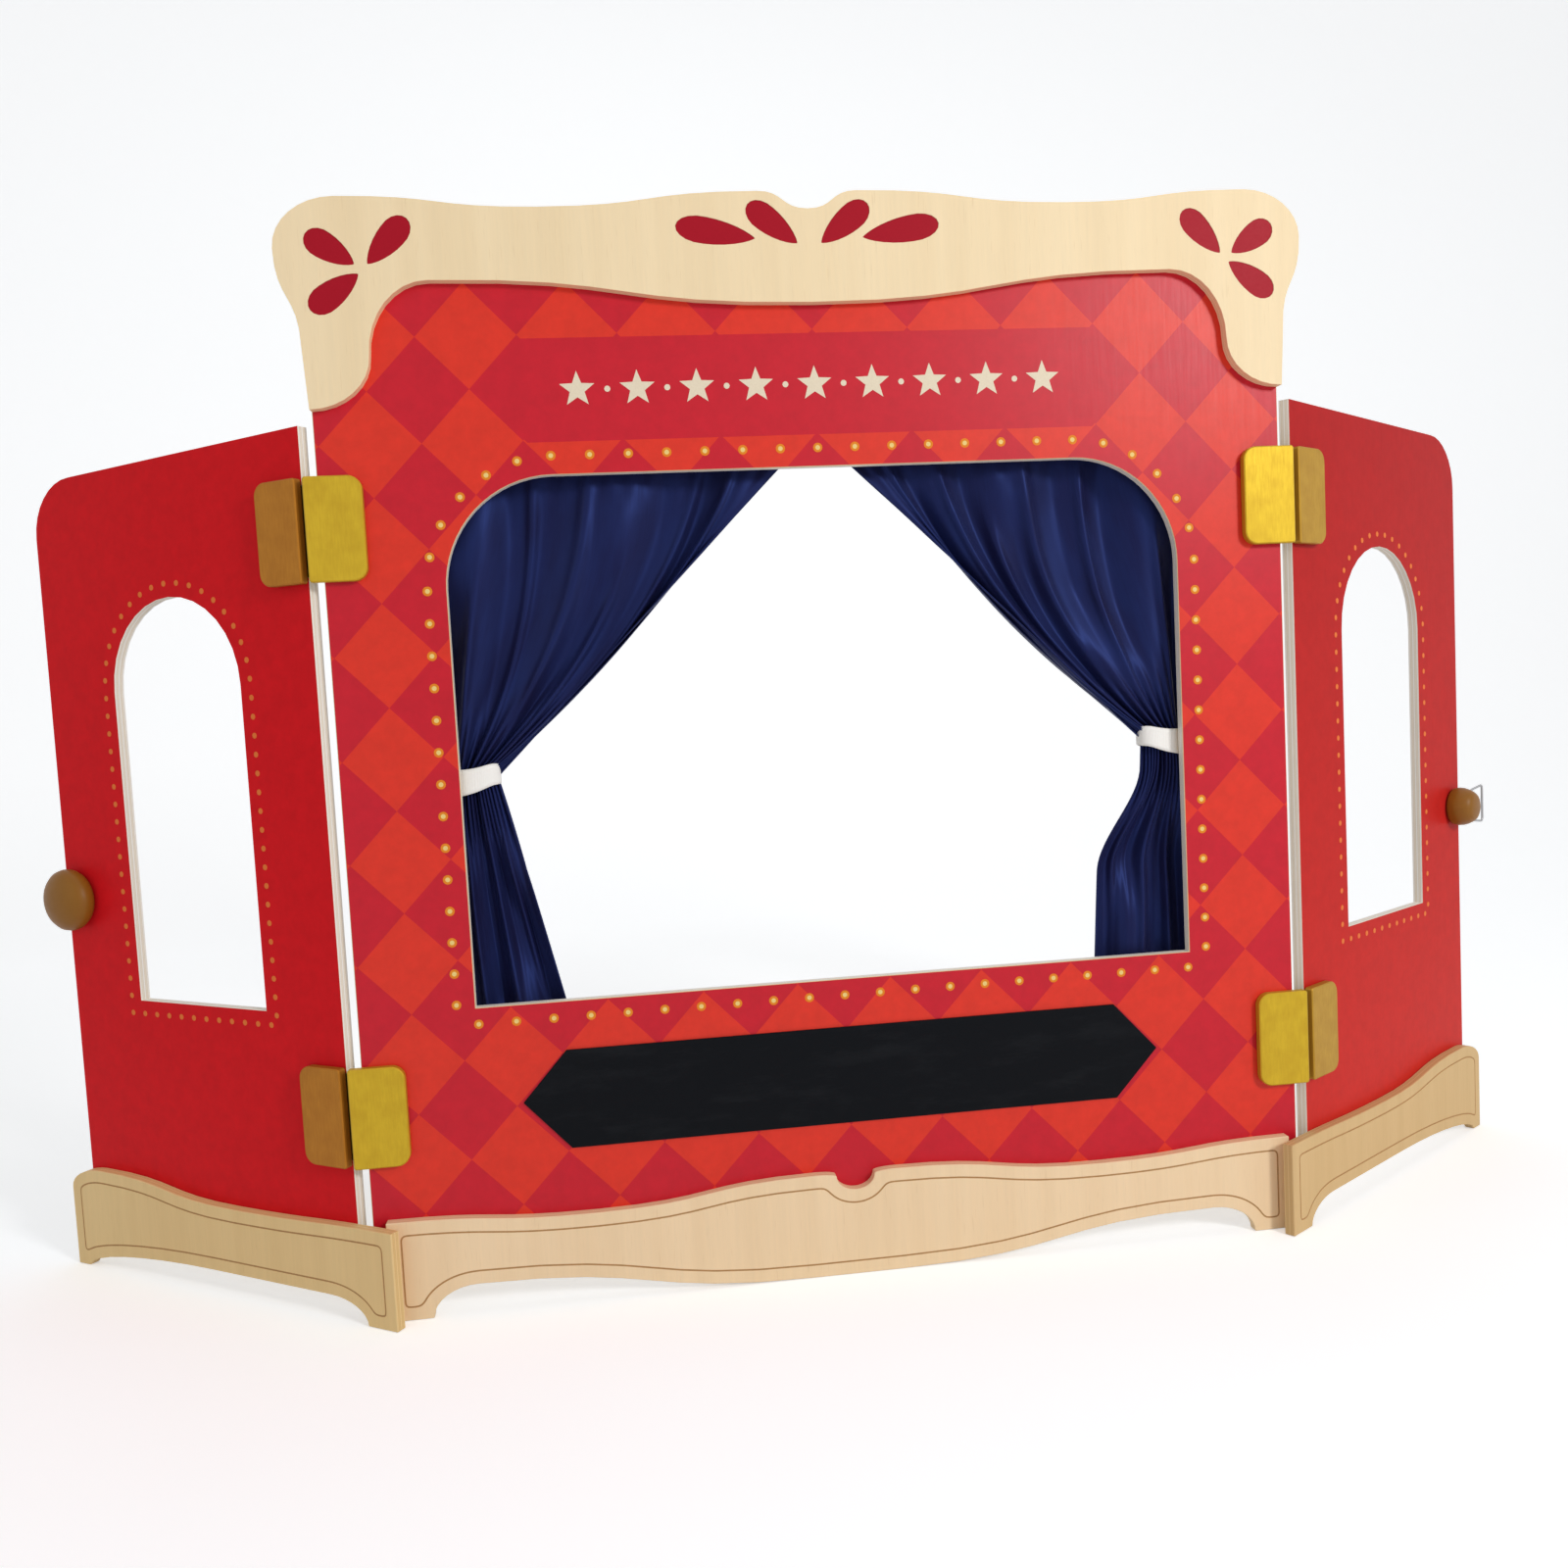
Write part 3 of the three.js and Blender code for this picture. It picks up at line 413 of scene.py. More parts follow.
def front_outline(piece, side):
    """Outer edge of a board's front face, as (along, up), and the depth of that face in the board's frame."""
    inverse = placed(side).inverted()
    local = [inverse @ v.co for v in piece.data.vertices]
    front = min(p.y for p in local)
    uses = {}
    for polygon in piece.data.polygons:
        if all(local[i].y < front + 0.05 * MM for i in polygon.vertices):
            for key in polygon.edge_keys:
                uses[key] = uses.get(key, 0) + 1
    near = {}
    for a, b in (key for key, count in uses.items() if count == 1):
        near.setdefault(a, set()).add(b)
        near.setdefault(b, set()).add(a)
    loops = []
    while near:
        here = next(iter(near))
        loop = []
        while near.get(here):
            loop.append(here)
            onward = near[here].pop()
            near[onward].discard(here)
            if not near[here]:
                del near[here]
            here = onward
        near.pop(here, None)
        loops.append(np.array([(local[i].x, local[i].z) for i in loop]))
    return max(loops, key=lambda p: np.ptp(p[:, 0])), front


def closed_steps(points, step):
    """Closed line through the points, in steps of about one length."""
    ring = np.vstack([points, points[:1]])
    run = np.concatenate([[0], np.cumsum(np.linalg.norm(np.diff(ring, axis=0), axis=1))])
    at = np.linspace(0, run[-1], max(8, int(run[-1] / step)), endpoint=False)
    return np.stack([np.interp(at, run, ring[:, i]) for i in range(points.shape[1])], 1)


def square_to(line):
    """Unit direction across a closed line at each of its points."""
    ahead = np.roll(line, -1, 0) - np.roll(line, 1, 0)
    return np.stack([-ahead[:, 1], ahead[:, 0]], 1) / np.linalg.norm(ahead, axis=1)[:, None]


def inset_line(outline, distance, step=1.5 * MM):
    """Closed line at one distance inside a closed outline."""
    points = closed_steps(outline, step)
    following = np.roll(points, -1, 0)
    area = (points[:, 0] * following[:, 1] - following[:, 0] * points[:, 1]).sum()
    moved = points + square_to(points) * math.copysign(distance, area)
    # Points that come too near another stretch of the outline are left out, which turns inner corners round.
    run = following - points
    along = ((moved[:, None] - points[None]) * run[None]).sum(2) / (run**2).sum(1)[None]
    nearest = points[None] + np.clip(along, 0, 1)[..., None] * run[None]
    gap = np.linalg.norm(moved[:, None] - nearest, axis=2).min(1)
    line = closed_steps(moved[gap > distance * 0.985], step)
    for _ in range(2):
        line = (np.roll(line, 1, 0) + 2 * line + np.roll(line, -1, 0)) / 4
    return line


def groove_tool(line, side, front, width, depth, material):
    """Closed ring with a tapered section, which cuts the scorched line."""
    place = placed(side)
    section = [(-0.5, -0.3 * MM), (-0.28, depth), (0.28, depth), (0.5, -0.3 * MM)]
    vertices = []
    for point, normal in zip(line, square_to(line)):
        for share, deep in section:
            x, z = point + normal * share * width
            vertices.append(place @ Vector((x, front + deep, z)))
    faces = quads(len(line), len(section), wrapped=True)
    return new_object("groove_tool", vertices, faces, None, [material], solid=True)


def cut(piece, tool):
    """Cut a tool's shape out of a piece; the cut keeps the tool's finish."""
    change = piece.modifiers.new("cut", "BOOLEAN")
    change.operation = "DIFFERENCE"
    change.solver = "EXACT"
    change.material_mode = "TRANSFER"
    change.object = tool
    before = len(piece.data.polygons)
    made = bpy.data.meshes.new_from_object(piece.evaluated_get(bpy.context.evaluated_depsgraph_get()))
    piece.modifiers.clear()
    if not made.polygons or len(made.polygons) == before:
        raise RuntimeError(f"the cut of {piece.name} left nothing changed")
    piece.data = made
    bpy.data.objects.remove(tool)


# ---- materials

# The inputs of a noise are listed as its vector, scale, detail and roughness.


def wood_tones(tree, vector, tone, size):
    """Colour and height of flat-sawn wood, whose fibres have a size in millimetres and run along the vector's
    squeezed axis."""
    fibre = lay(tree, "TexNoise", (vector, per_size(size), 4.0, 0.6))
    broad = lay(tree, "TexNoise", (vector, per_size(size * 9), 2.0))
    pore = lay(tree, "TexNoise", (vector, per_size(size * 0.45), 1.0))
    deep = scaled(tone, 0.82, 0.74, 0.62)
    result = blend(tree, fibre, (0.32, 0.72), scaled(tone, 1.04, 1.03, 1.02), tone)
    result = blend(tree, broad, (0.35, 0.68, 0.0, 0.2), result, deep)
    return blend(tree, pore, (0.66, 0.8, 0.0, 0.35), result, deep), fibre


def plywood(name, tone, side, front, ink=None, cut_tone=None, shine=0.3):
    """Basswood plywood, sanded. It shows upright fibres on its faces and five plies with glue lines on its
    edges. Where ink is given, the front has a screen print with a satin varnish, which lets the fibres show
    only as a faint ripple."""
    material, tree = blank(name)
    frame_of_board = {
        "Vector": own_place(tree),
        "Location": (side * PIN_X, PIN_Y, 0),
        "Rotation": (0, 0, side * WING_FOLD),
    }
    own = lay(tree, "Mapping", frame_of_board, vector_type="TEXTURE")
    axes = lay(tree, "SeparateXYZ", (own,))
    facing = frontness(tree, side)
    # Fibres of basswood are far finer than a millimetre; they are drawn 1.4 mm wide so that they show.
    grain = lay(tree, "VectorMath", (own, (1, 1, 0.05)), operation="MULTIPLY")
    face, height = wood_tones(tree, grain, tone, 1.4)
    # Plies of 1.2 mm, every second one turned so that it shows darker end grain, with glue between them.
    ply = 1.2 * MM
    level = lay(tree, "Math", (axes.outputs["Y"], 1 / ply, -front / ply), operation="MULTIPLY_ADD")
    turn = lay(tree, "Math", (level, 2.0), operation="MODULO")
    end_grain = lay(tree, "Math", (turn, 1.0), operation="GREATER_THAN")
    from_glue = lay(tree, "Math", (level, 0.5), operation="PINGPONG")
    glue = lay(tree, "Math", (from_glue, 0.07), operation="LESS_THAN")
    cut_tone = cut_tone or tone
    edge = lay(tree, "Mix", (height, cut_tone, scaled(cut_tone, 0.96, 0.95, 0.93)), data_type="RGBA")
    for share, factors in ((end_grain, (0.9, 0.85, 0.77)), (glue, (0.72, 0.62, 0.5))):
        edge = lay(tree, "Mix", (share, edge, scaled(cut_tone, *factors)), data_type="RGBA")
    steep = lay(tree, "Math", (facing,), operation="ABSOLUTE")
    is_edge = lay(tree, "Math", (steep, 0.5), operation="LESS_THAN")
    result = lay(tree, "Mix", (is_edge, face, edge), data_type="RGBA")
    rough = lay(tree, "MapRange", (height, 0.0, 1.0, 0.5, 0.66))
    if ink:
        # The print also covers the eased arris of the front.
        is_ink = lay(tree, "Math", (facing, 0.9), operation="GREATER_THAN")
        mottle = lay(tree, "TexNoise", (own, per_size(7), 3.0, 0.6))
        tint = lay(tree, "MapRange", (mottle, 0.3, 0.7, 0.94, 1.05))
        varied = lay(tree, "VectorMath", (ink(tree, axes), tint), operation="SCALE")
        result = lay(tree, "Mix", (is_ink, result, varied), data_type="RGBA")
        rough = lay(tree, "Math", (is_ink, -0.2, rough), operation="MULTIPLY_ADD")
        ripple = lay(tree, "Math", (is_ink, -0.65, 1.0), operation="MULTIPLY_ADD")
        height = lay(tree, "Math", (ripple, height), operation="MULTIPLY")
    surface(tree, {"Base Color": result, "Roughness": rough, "Specular IOR Level": shine}, (height, 0.35, 0.12))
    return material


def harlequin(look):
    """Ink of the screen: two reds in diamonds, and a plain hexagonal banner in the deeper one."""

    def ink(tree, axes):
        across, up = axes.outputs["X"], axes.outputs["Z"]
        x = lay(tree, "Math", (across, 1 / look.lozenge_width), operation="MULTIPLY")
        lift = 0.5 - look.lozenge_foot / look.lozenge_height
        z = lay(tree, "Math", (up, 1 / look.lozenge_height, lift), operation="MULTIPLY_ADD")
        slopes = [lay(tree, "Math", (x, z), operation=way) for way in ("ADD", "SUBTRACT")]
        shifted = [lay(tree, "Math", (slope, 0.5), operation="ADD") for slope in slopes]
        pair = lay(tree, "CombineXYZ", (*shifted, 0.5))
        lozenges = lay(tree, "TexChecker", (pair, look.bright_red, look.deep_red, 1.0))
        above = lay(tree, "Math", (up, look.banner_z), operation="SUBTRACT")
        rise = lay(tree, "Math", (above,), operation="ABSOLUTE")
        reach = lay(tree, "Math", (across,), operation="ABSOLUTE")
        slope = look.lozenge_width / look.lozenge_height
        edge = lay(tree, "Math", (rise, slope, reach), operation="MULTIPLY_ADD")
        within = lay(tree, "Math", (edge, look.banner_half_width), operation="LESS_THAN")
        between = lay(tree, "Math", (rise, look.banner_half_height), operation="LESS_THAN")
        banner = lay(tree, "Math", (within, between), operation="MULTIPLY")
        return lay(tree, "Mix", (banner, lozenges, look.deep_red), data_type="RGBA")

    return ink


def plain_ink_and_shade(tone, low):
    """Red of a wing: one plain print, whose tone turns from the foot's to the top's; where they differ, the darker
    top is painted shade.
    """

    def ink(tree, axes):
        return blend(tree, axes.outputs["Z"], (0.02, 0.46), low, tone)

    return ink


def solid_wood(name, tone, squeeze, roughness, size):
    """Turned or sanded hardwood, whose fibres have a size in millimetres and run along the squeezed axis."""
    material, tree = blank(name)
    face, height = wood_tones(tree, own_place(tree, squeeze), tone, size)
    rough = lay(tree, "MapRange", (height, 0.0, 1.0, roughness - 0.06, roughness + 0.08))
    surface(tree, {"Base Color": face, "Roughness": rough, "Specular IOR Level": 0.25}, (height, 0.4, 0.12))
    return material


def speckled(name, tone, dull, grain, rough, squeeze=None, **others):
    """A tone that turns duller in a fine noise, which also moves the roughness. Grain is the noise's size in
    millimetres, its detail and its roughness. Other inputs go to the shader as they are."""
    material, tree = blank(name)
    pattern = lay(tree, "TexNoise", (own_place(tree, squeeze), per_size(grain[0]), *grain[1:]))
    mixed = lay(tree, "Mix", (pattern, tone, scaled(tone, *dull)), data_type="RGBA")
    uneven = lay(tree, "MapRange", (pattern, 0.0, 1.0, *rough))
    surface(tree, {"Base Color": mixed, "Roughness": uneven, **others})
    return material


def scorched_wood(tone):
    """Wood burnt by an engraving tip: brown, matt and uneven."""
    return speckled("scorched_wood", tone, (0.7, 0.65, 0.6), (2, 3.0, 0.7), (0.75, 0.95))


def drawn_metal(name, hex_colour, roughness, squeeze=None):
    """Metal with a faint grain, which a squeeze draws out into lines along the way it was pulled."""
    rough = (roughness - 0.06, roughness + 0.1)
    return speckled(name, linear(hex_colour), (0.78, 0.76, 0.72), (0.5, 3.0, 0.5), rough, squeeze, Metallic=1.0)


def flat_ink(name, tone):
    """Opaque screen ink, laid thickly: even, with a satin face."""
    varnish = {"Specular IOR Level": 0.08}
    return speckled(name, tone, (0.88, 0.86, 0.84), (0.8, 2.0, 0.5), (0.36, 0.5), **varnish)


def gold_paint(name, tone, side):
    """Metallic paint brushed on wood: a dull gold with a slight streak; edges and rear are painted darker, as
    shade.
    """
    material, tree = blank(name)
    # Brush marks of a fine brush, about 0.3 mm apart, drawn 0.9 mm apart so that they show.
    brushed = own_place(tree, (1, 1, 0.12))
    streak = lay(tree, "TexNoise", (brushed, per_size(0.9), 3.0))
    cloud = lay(tree, "TexNoise", (own_place(tree), per_size(9), 3.0))
    deep = scaled(tone, 0.74, 0.66, 0.6)
    result = blend(tree, cloud, (0.35, 0.7, 0.0, 0.5), tone, deep)
    result = blend(tree, streak, (0.3, 0.7, 0.0, 0.4), result, deep)
    # Edges and rear turn darker: painted shade on the covers' side faces.
    result = blend(tree, frontness(tree, side), (0.3, 0.9), scaled(tone, 0.82, 0.76, 0.74), result)
    rough = lay(tree, "MapRange", (streak, 0.0, 1.0, 0.36, 0.54))
    inputs = {"Base Color": result, "Roughness": rough, "Metallic": 0.35, "Specular IOR Level": 0.15}
    surface(tree, inputs, (streak, 0.3, 0.1))
    return material


def slate_paint(tone):
    """Chalkboard paint, rolled on: nearly black, matt, with fine grit and the ghost of wiped chalk."""
    material, tree = blank("slate_paint")
    grit = lay(tree, "TexNoise", (own_place(tree), per_size(0.6), 2.0))
    wiped = own_place(tree, (0.25, 1, 1))
    ghost = lay(tree, "TexNoise", (wiped, per_size(14), 5.0, 0.7))
    mixed = blend(tree, ghost, (0.5, 0.85, 0.0, 0.03), tone, linear("#8E9298"))
    rough = lay(tree, "MapRange", (grit, 0.0, 1.0, 0.78, 0.92))
    surface(tree, {"Base Color": mixed, "Roughness": rough, "Specular IOR Level": 0.1}, (grit, 0.35, 0.1))
    return material


def satin(tone):
    """Polyester satin: long floats of warp thread, which give a soft sheen along the folds."""
    material, tree = blank("navy_satin")
    cloth = lay(tree, "UVMap", uv_map="cut")
    # Warp threads are about 0.1 mm apart; they are drawn 0.7 mm apart so that they show.
    along = lay(tree, "VectorMath", (cloth, (1, 0.04, 1)), operation="MULTIPLY")
    warp = lay(tree, "TexNoise", (along, per_size(0.7), 2.0))
    drawn = lay(tree, "VectorMath", (cloth, (1, 0.3, 1)), operation="MULTIPLY")
    slub = lay(tree, "TexNoise", (drawn, per_size(16), 3.0))
    mixed = blend(tree, warp, (0.3, 0.7, 0.0, 0.6), tone, scaled(tone, 0.8, 0.62, 0.6))
    inputs = {
        "Base Color": blend(tree, slub, (0.38, 0.72, 0.0, 0.75), mixed, scaled(tone, 1.3, 1.9, 1.9)),
        "Roughness": lay(tree, "MapRange", (warp, 0.0, 1.0, 0.34, 0.5)),
        # Light that the shiny floats give back has passed through dyed thread, so it is blue and not white.
        "Specular Tint": linear("#5C7BE0"),
        "Specular IOR Level": 0.5,
        "Sheen Weight": 0.06,
        "Sheen Roughness": 0.4,
        "Sheen Tint": linear("#3A55C0"),
    }
    surface(tree, inputs, (warp, 0.3, 0.1))
    return material


def ribbon(tone):
    """Grosgrain ribbon: fine ribs across its length, painted darker between them as shade, and a soft, slightly
    warm white.
    """
    material, tree = blank("grosgrain_ribbon")
    cloth = lay(tree, "UVMap", uv_map="cut")
    axes = lay(tree, "SeparateXYZ", (cloth,))
    # Ribs are about 0.5 mm apart; they are drawn 0.9 mm apart so that they show.
    rib = lay(tree, "Math", (axes.outputs["X"], 2 * math.pi / (0.9 * MM)), operation="MULTIPLY")
    wave = lay(tree, "Math", (rib,), operation="SINE")
    level = lay(tree, "MapRange", (wave, -1.0, 1.0))
    grain = lay(tree, "TexNoise", (cloth, per_size(3), 2.0))
    # Darker between the ribs: painted shade in their valleys, mixed with a random grain.
    shade = lay(tree, "Math", (level, -0.3, 0.35), operation="MULTIPLY_ADD")
    both = lay(tree, "Math", (grain, 0.3, shade), operation="MULTIPLY_ADD")
    mixed = lay(tree, "Mix", (both, tone, scaled(tone, 0.93, 0.9, 0.86)), data_type="RGBA")
    rough = lay(tree, "MapRange", (grain, 0.0, 1.0, 0.5, 0.66))
    surface(tree, {"Base Color": mixed, "Roughness": rough, "Sheen Weight": 0.2}, (level, 0.4, 0.12))
    return material


# ---- shapes


def arch_line(half, low, high, pitch):
    """Points at an even spacing along a line with a square foot and a round top."""
    turns = [math.radians(d) for d in range(0, 181, 3)]
    points = [(-half, low), (half, low)]
    points += [(half * math.cos(t), high - half + half * math.sin(t)) for t in turns]
    return closed_steps(np.array(points), pitch)


def bulb_spots(look):
    """Middles of the dots round the stage window: wider apart in the rows than up the sides and corners."""
    half, low, high, corner = WINDOW
    out = look.bulb_offset
    bend_x, bend_z, reach = half - corner, high - corner, corner + out
    spots = []
    for width, z in ((half - 1 * MM, low - out + 1 * MM), (bend_x, high + out)):
        row = round(2 * width / look.bulb_pitch)
        spots += [(width * (2 * i / row - 1), z) for i in range(row + 1)]
    column = round((bend_z - low) / look.bulb_rise)
    turns = [math.radians(15 * i) for i in range(1, 6)]
    for side in (-1, 1):
        spots += [(side * (bend_x + reach * math.cos(t)), bend_z + reach * math.sin(t)) for t in turns]
        spots += [(side * (half + out), bend_z - i * look.bulb_rise) for i in range(column + 1)]
    return spots


def disc(radius, sides=14):
    """Points round a circle."""
    turns = [2 * math.pi * i / sides for i in range(sides)]
    return [(radius * math.cos(turn), radius * math.sin(turn)) for turn in turns]


def star(radius, waist=0.42):
    """Outline of a star with five points, whose inner corners lie at a share of its radius."""
    reach = [radius * (waist if i % 2 else 1) for i in range(10)]
    return [(r * math.sin(math.pi * i / 5), r * math.cos(math.pi * i / 5)) for i, r in enumerate(reach)]


def petal(root, end, width, steps=12):
    """Outline of a leaf from its root to its round end, about its own middle."""
    along = Vector(end) - Vector(root)
    across = Vector((-along.y, along.x)).normalized() * width / 2
    widest = 0.7
    points = []
    for i in range(2 * steps):
        t = i / steps if i <= steps else 2 - i / steps
        s = 0.5 - 0.5 * math.cos(math.pi * t)
        if s < widest:
            half = (1 - (1 - s / widest) ** 2) ** 0.8
        else:
            half = math.sqrt(max(0, 1 - ((s - widest) / (1 - widest)) ** 2))
        points.append(along * (s - 0.5) + across * half * (1 if i <= steps else -1))
    return points


def petal_shapes(look, spare=0.0):
    """Petals of the crest, each wider by the spare: four over its middle and three in each corner."""
    shapes = []
    for motif_x, motif_z, leaves in ((0, 520.5, CENTRE_PETALS), (227, 541, CORNER_PETALS)):
        for side in (-1, 1):
            for leaf in leaves:
                root, end = (Vector((side * (motif_x + x) * MM, (motif_z + z) * MM)) for x, z in leaf)
                grown = [tuple(p * (1 + spare / p.length)) for p in petal(root, end, look.petal_width)]
                shapes.append(((root + end) / 2, grown, 0.5))
    return shapes


def plates(name, side, near, far, shapes, body, materials, slot_name):
    """Closed plates between two depths of a board's frame. Each shape is (middle, outline, inner share), and
    the last material covers its face within that share."""
    place = placed(side)
    vertices, faces, kinds = [], [], []
    for middle, outline, inner in shapes:
        first = len(vertices)
        count = len(outline)
        for share, depth in ((0, far), (1, far), (1, near), (inner, near), (0, near)):
            for x, z in outline if share else outline[:1]:
                vertices.append(place @ Vector((middle[0] + x * share, depth, middle[1] + z * share)))
        for i in range(count):
            j = (i + 1) % count
            faces.append((first, first + 1 + i, first + 1 + j))
            for ring in range(2):
                k = first + 1 + ring * count
                faces.append((k + i, k + j, k + count + j, k + count + i))
            faces.append((first + 1 + 2 * count + i, first + 1 + 2 * count + j, first + 1 + 3 * count))
            kinds += [0, 0, 0, len(materials) - 1]
    piece = new_object(name, vertices, faces, body, materials, slot_name, solid=True)
    piece.data.polygons.foreach_set("material_index", kinds)
    return piece


def screw_heads(name, side, spots, radius, body, material):
    """Domed heads with a cross recess and a flat underside, standing out of a board's rear face."""
    place = placed(side)
    steps = (-1, -0.86, -0.62, -0.36, -0.17, -0.13, 0, 0.13, 0.17, 0.36, 0.62, 0.86, 1)
    # Shares of the head's radius.
    dome, slot_half, slot_reach, slot_depth = 0.34, 0.15, 0.63, 0.3
    count, last = len(steps), len(steps) - 1
    rim = [(0, j) for j in range(last)] + [(i, last) for i in range(last)]
    rim += [(last, j) for j in range(last, 0, -1)] + [(i, 0) for i in range(last, 0, -1)]
    vertices, faces = [], []
    for x, z in spots:
        first = len(vertices)
        for a in steps:
            for b in steps:
                u, w = a * math.sqrt(1 - b * b / 2), b * math.sqrt(1 - a * a / 2)
                height = dome * (1 - math.hypot(u, w) ** 2.6)
                if min(abs(a), abs(b)) < slot_half and max(abs(a), abs(b)) < slot_reach:
                    height -= slot_depth
                spot = (x + u * radius, REAR + height * radius + 0.02 * MM, z + w * radius)
                vertices.append(place @ Vector(spot))
        faces += quads(count, count, first)
        faces.append([first + i * count + j for i, j in reversed(rim)])
    new_object(name, vertices, faces, body, [material], "steel", solid=True, crease=50)


def turned(name, profile, place, body, material, slot_name, sides):
    """Solid turned about its own upright axis, from a half section in millimetres that starts and ends on it."""
    rings, vertices, faces = [], [], []
    for radius, height in profile:
        spots = disc(radius * MM, sides) if radius else [(0, 0)]
        rings.append([len(vertices) + i for i in range(len(spots))])
        vertices += [place @ Vector((x, y, height * MM)) for x, y in spots]
    for lower, upper in zip(rings, rings[1:]):
        for i in range(sides):
            corners = [ring[k % len(ring)] for ring, k in ((lower, i), (lower, i + 1), (upper, i + 1), (upper, i))]
            faces.append(list(dict.fromkeys(corners)))
    return new_object(name, vertices, faces, body, [material], slot_name, solid=True, crease=35)


def rounded_loop(corners, radius, steps=8):
    """Closed line through the corners, each turned on an arc."""
    points = []
    for i, here in enumerate(corners):
        before, after = corners[i - 1], corners[(i + 1) % len(corners)]
        a, b = (before - here).normalized(), (after - here).normalized()
        reach = radius / math.tan(a.angle(b) / 2)
        start, end = here + a * reach, here + b * reach
        for k in range(steps + 1):
            t = k / steps
            points.append(start * (1 - t) ** 2 + here * 2 * t * (1 - t) + end * t**2)
    return points


def round_bar(name, path, normal, radius, body, material, slot_name, sides=12):
    """Round bar along a closed flat line with the given normal."""
    vertices = []
    for i, here in enumerate(path):
        ahead = (path[(i + 1) % len(path)] - path[i - 1]).normalized()
        across = ahead.cross(normal)
        vertices += [here + across * u + normal * w for u, w in disc(radius, sides)]
    faces = quads(len(path), sides, wrapped=True)
    return new_object(name, vertices, faces, body, [material], slot_name, solid=True, crease=60)


def soft_step(value, low, high):
    """Smooth rise from 0 at low to 1 at high."""
    t = np.clip((value - low) / (high - low), 0, 1)
    return t * t * (3 - 2 * t)


def draw_folds(count, chance):
    """Uneven folds. Each has its middle, half width, depth, slant, and where down the cloth it starts and ends."""
    folds = []
    for k in range(count):
        middle = (k + 0.5 + chance.uniform(-0.22, 0.22)) / count
        half = chance.uniform(0.36, 0.62) / count
        first, last = (-0.4, chance.uniform(0.75, 1.3)) if k % 3 else (chance.uniform(0.05, 0.3), 1.4)
        folds.append((middle, half, chance.uniform(0.6, 1.0), chance.uniform(-0.05, 0.05), first, last))
    return folds


def fold_depth(share, down, folds):
    """Depth of the cloth at one height, from -1 to about 1."""
    depth = np.zeros_like(share)
    for middle, half, deep, slant, first, last in folds:
        alive = soft_step(down, first, first + 0.35) * (1 - soft_step(down, last - 0.35, last))
        away = (share - middle - slant * down) / half
        depth += deep * alive * (np.exp(-np.abs(away) ** 1.7) - 0.42 * np.exp(-(((away - 1.1) / 0.24) ** 2)))
    return depth * 1.9 - 0.8


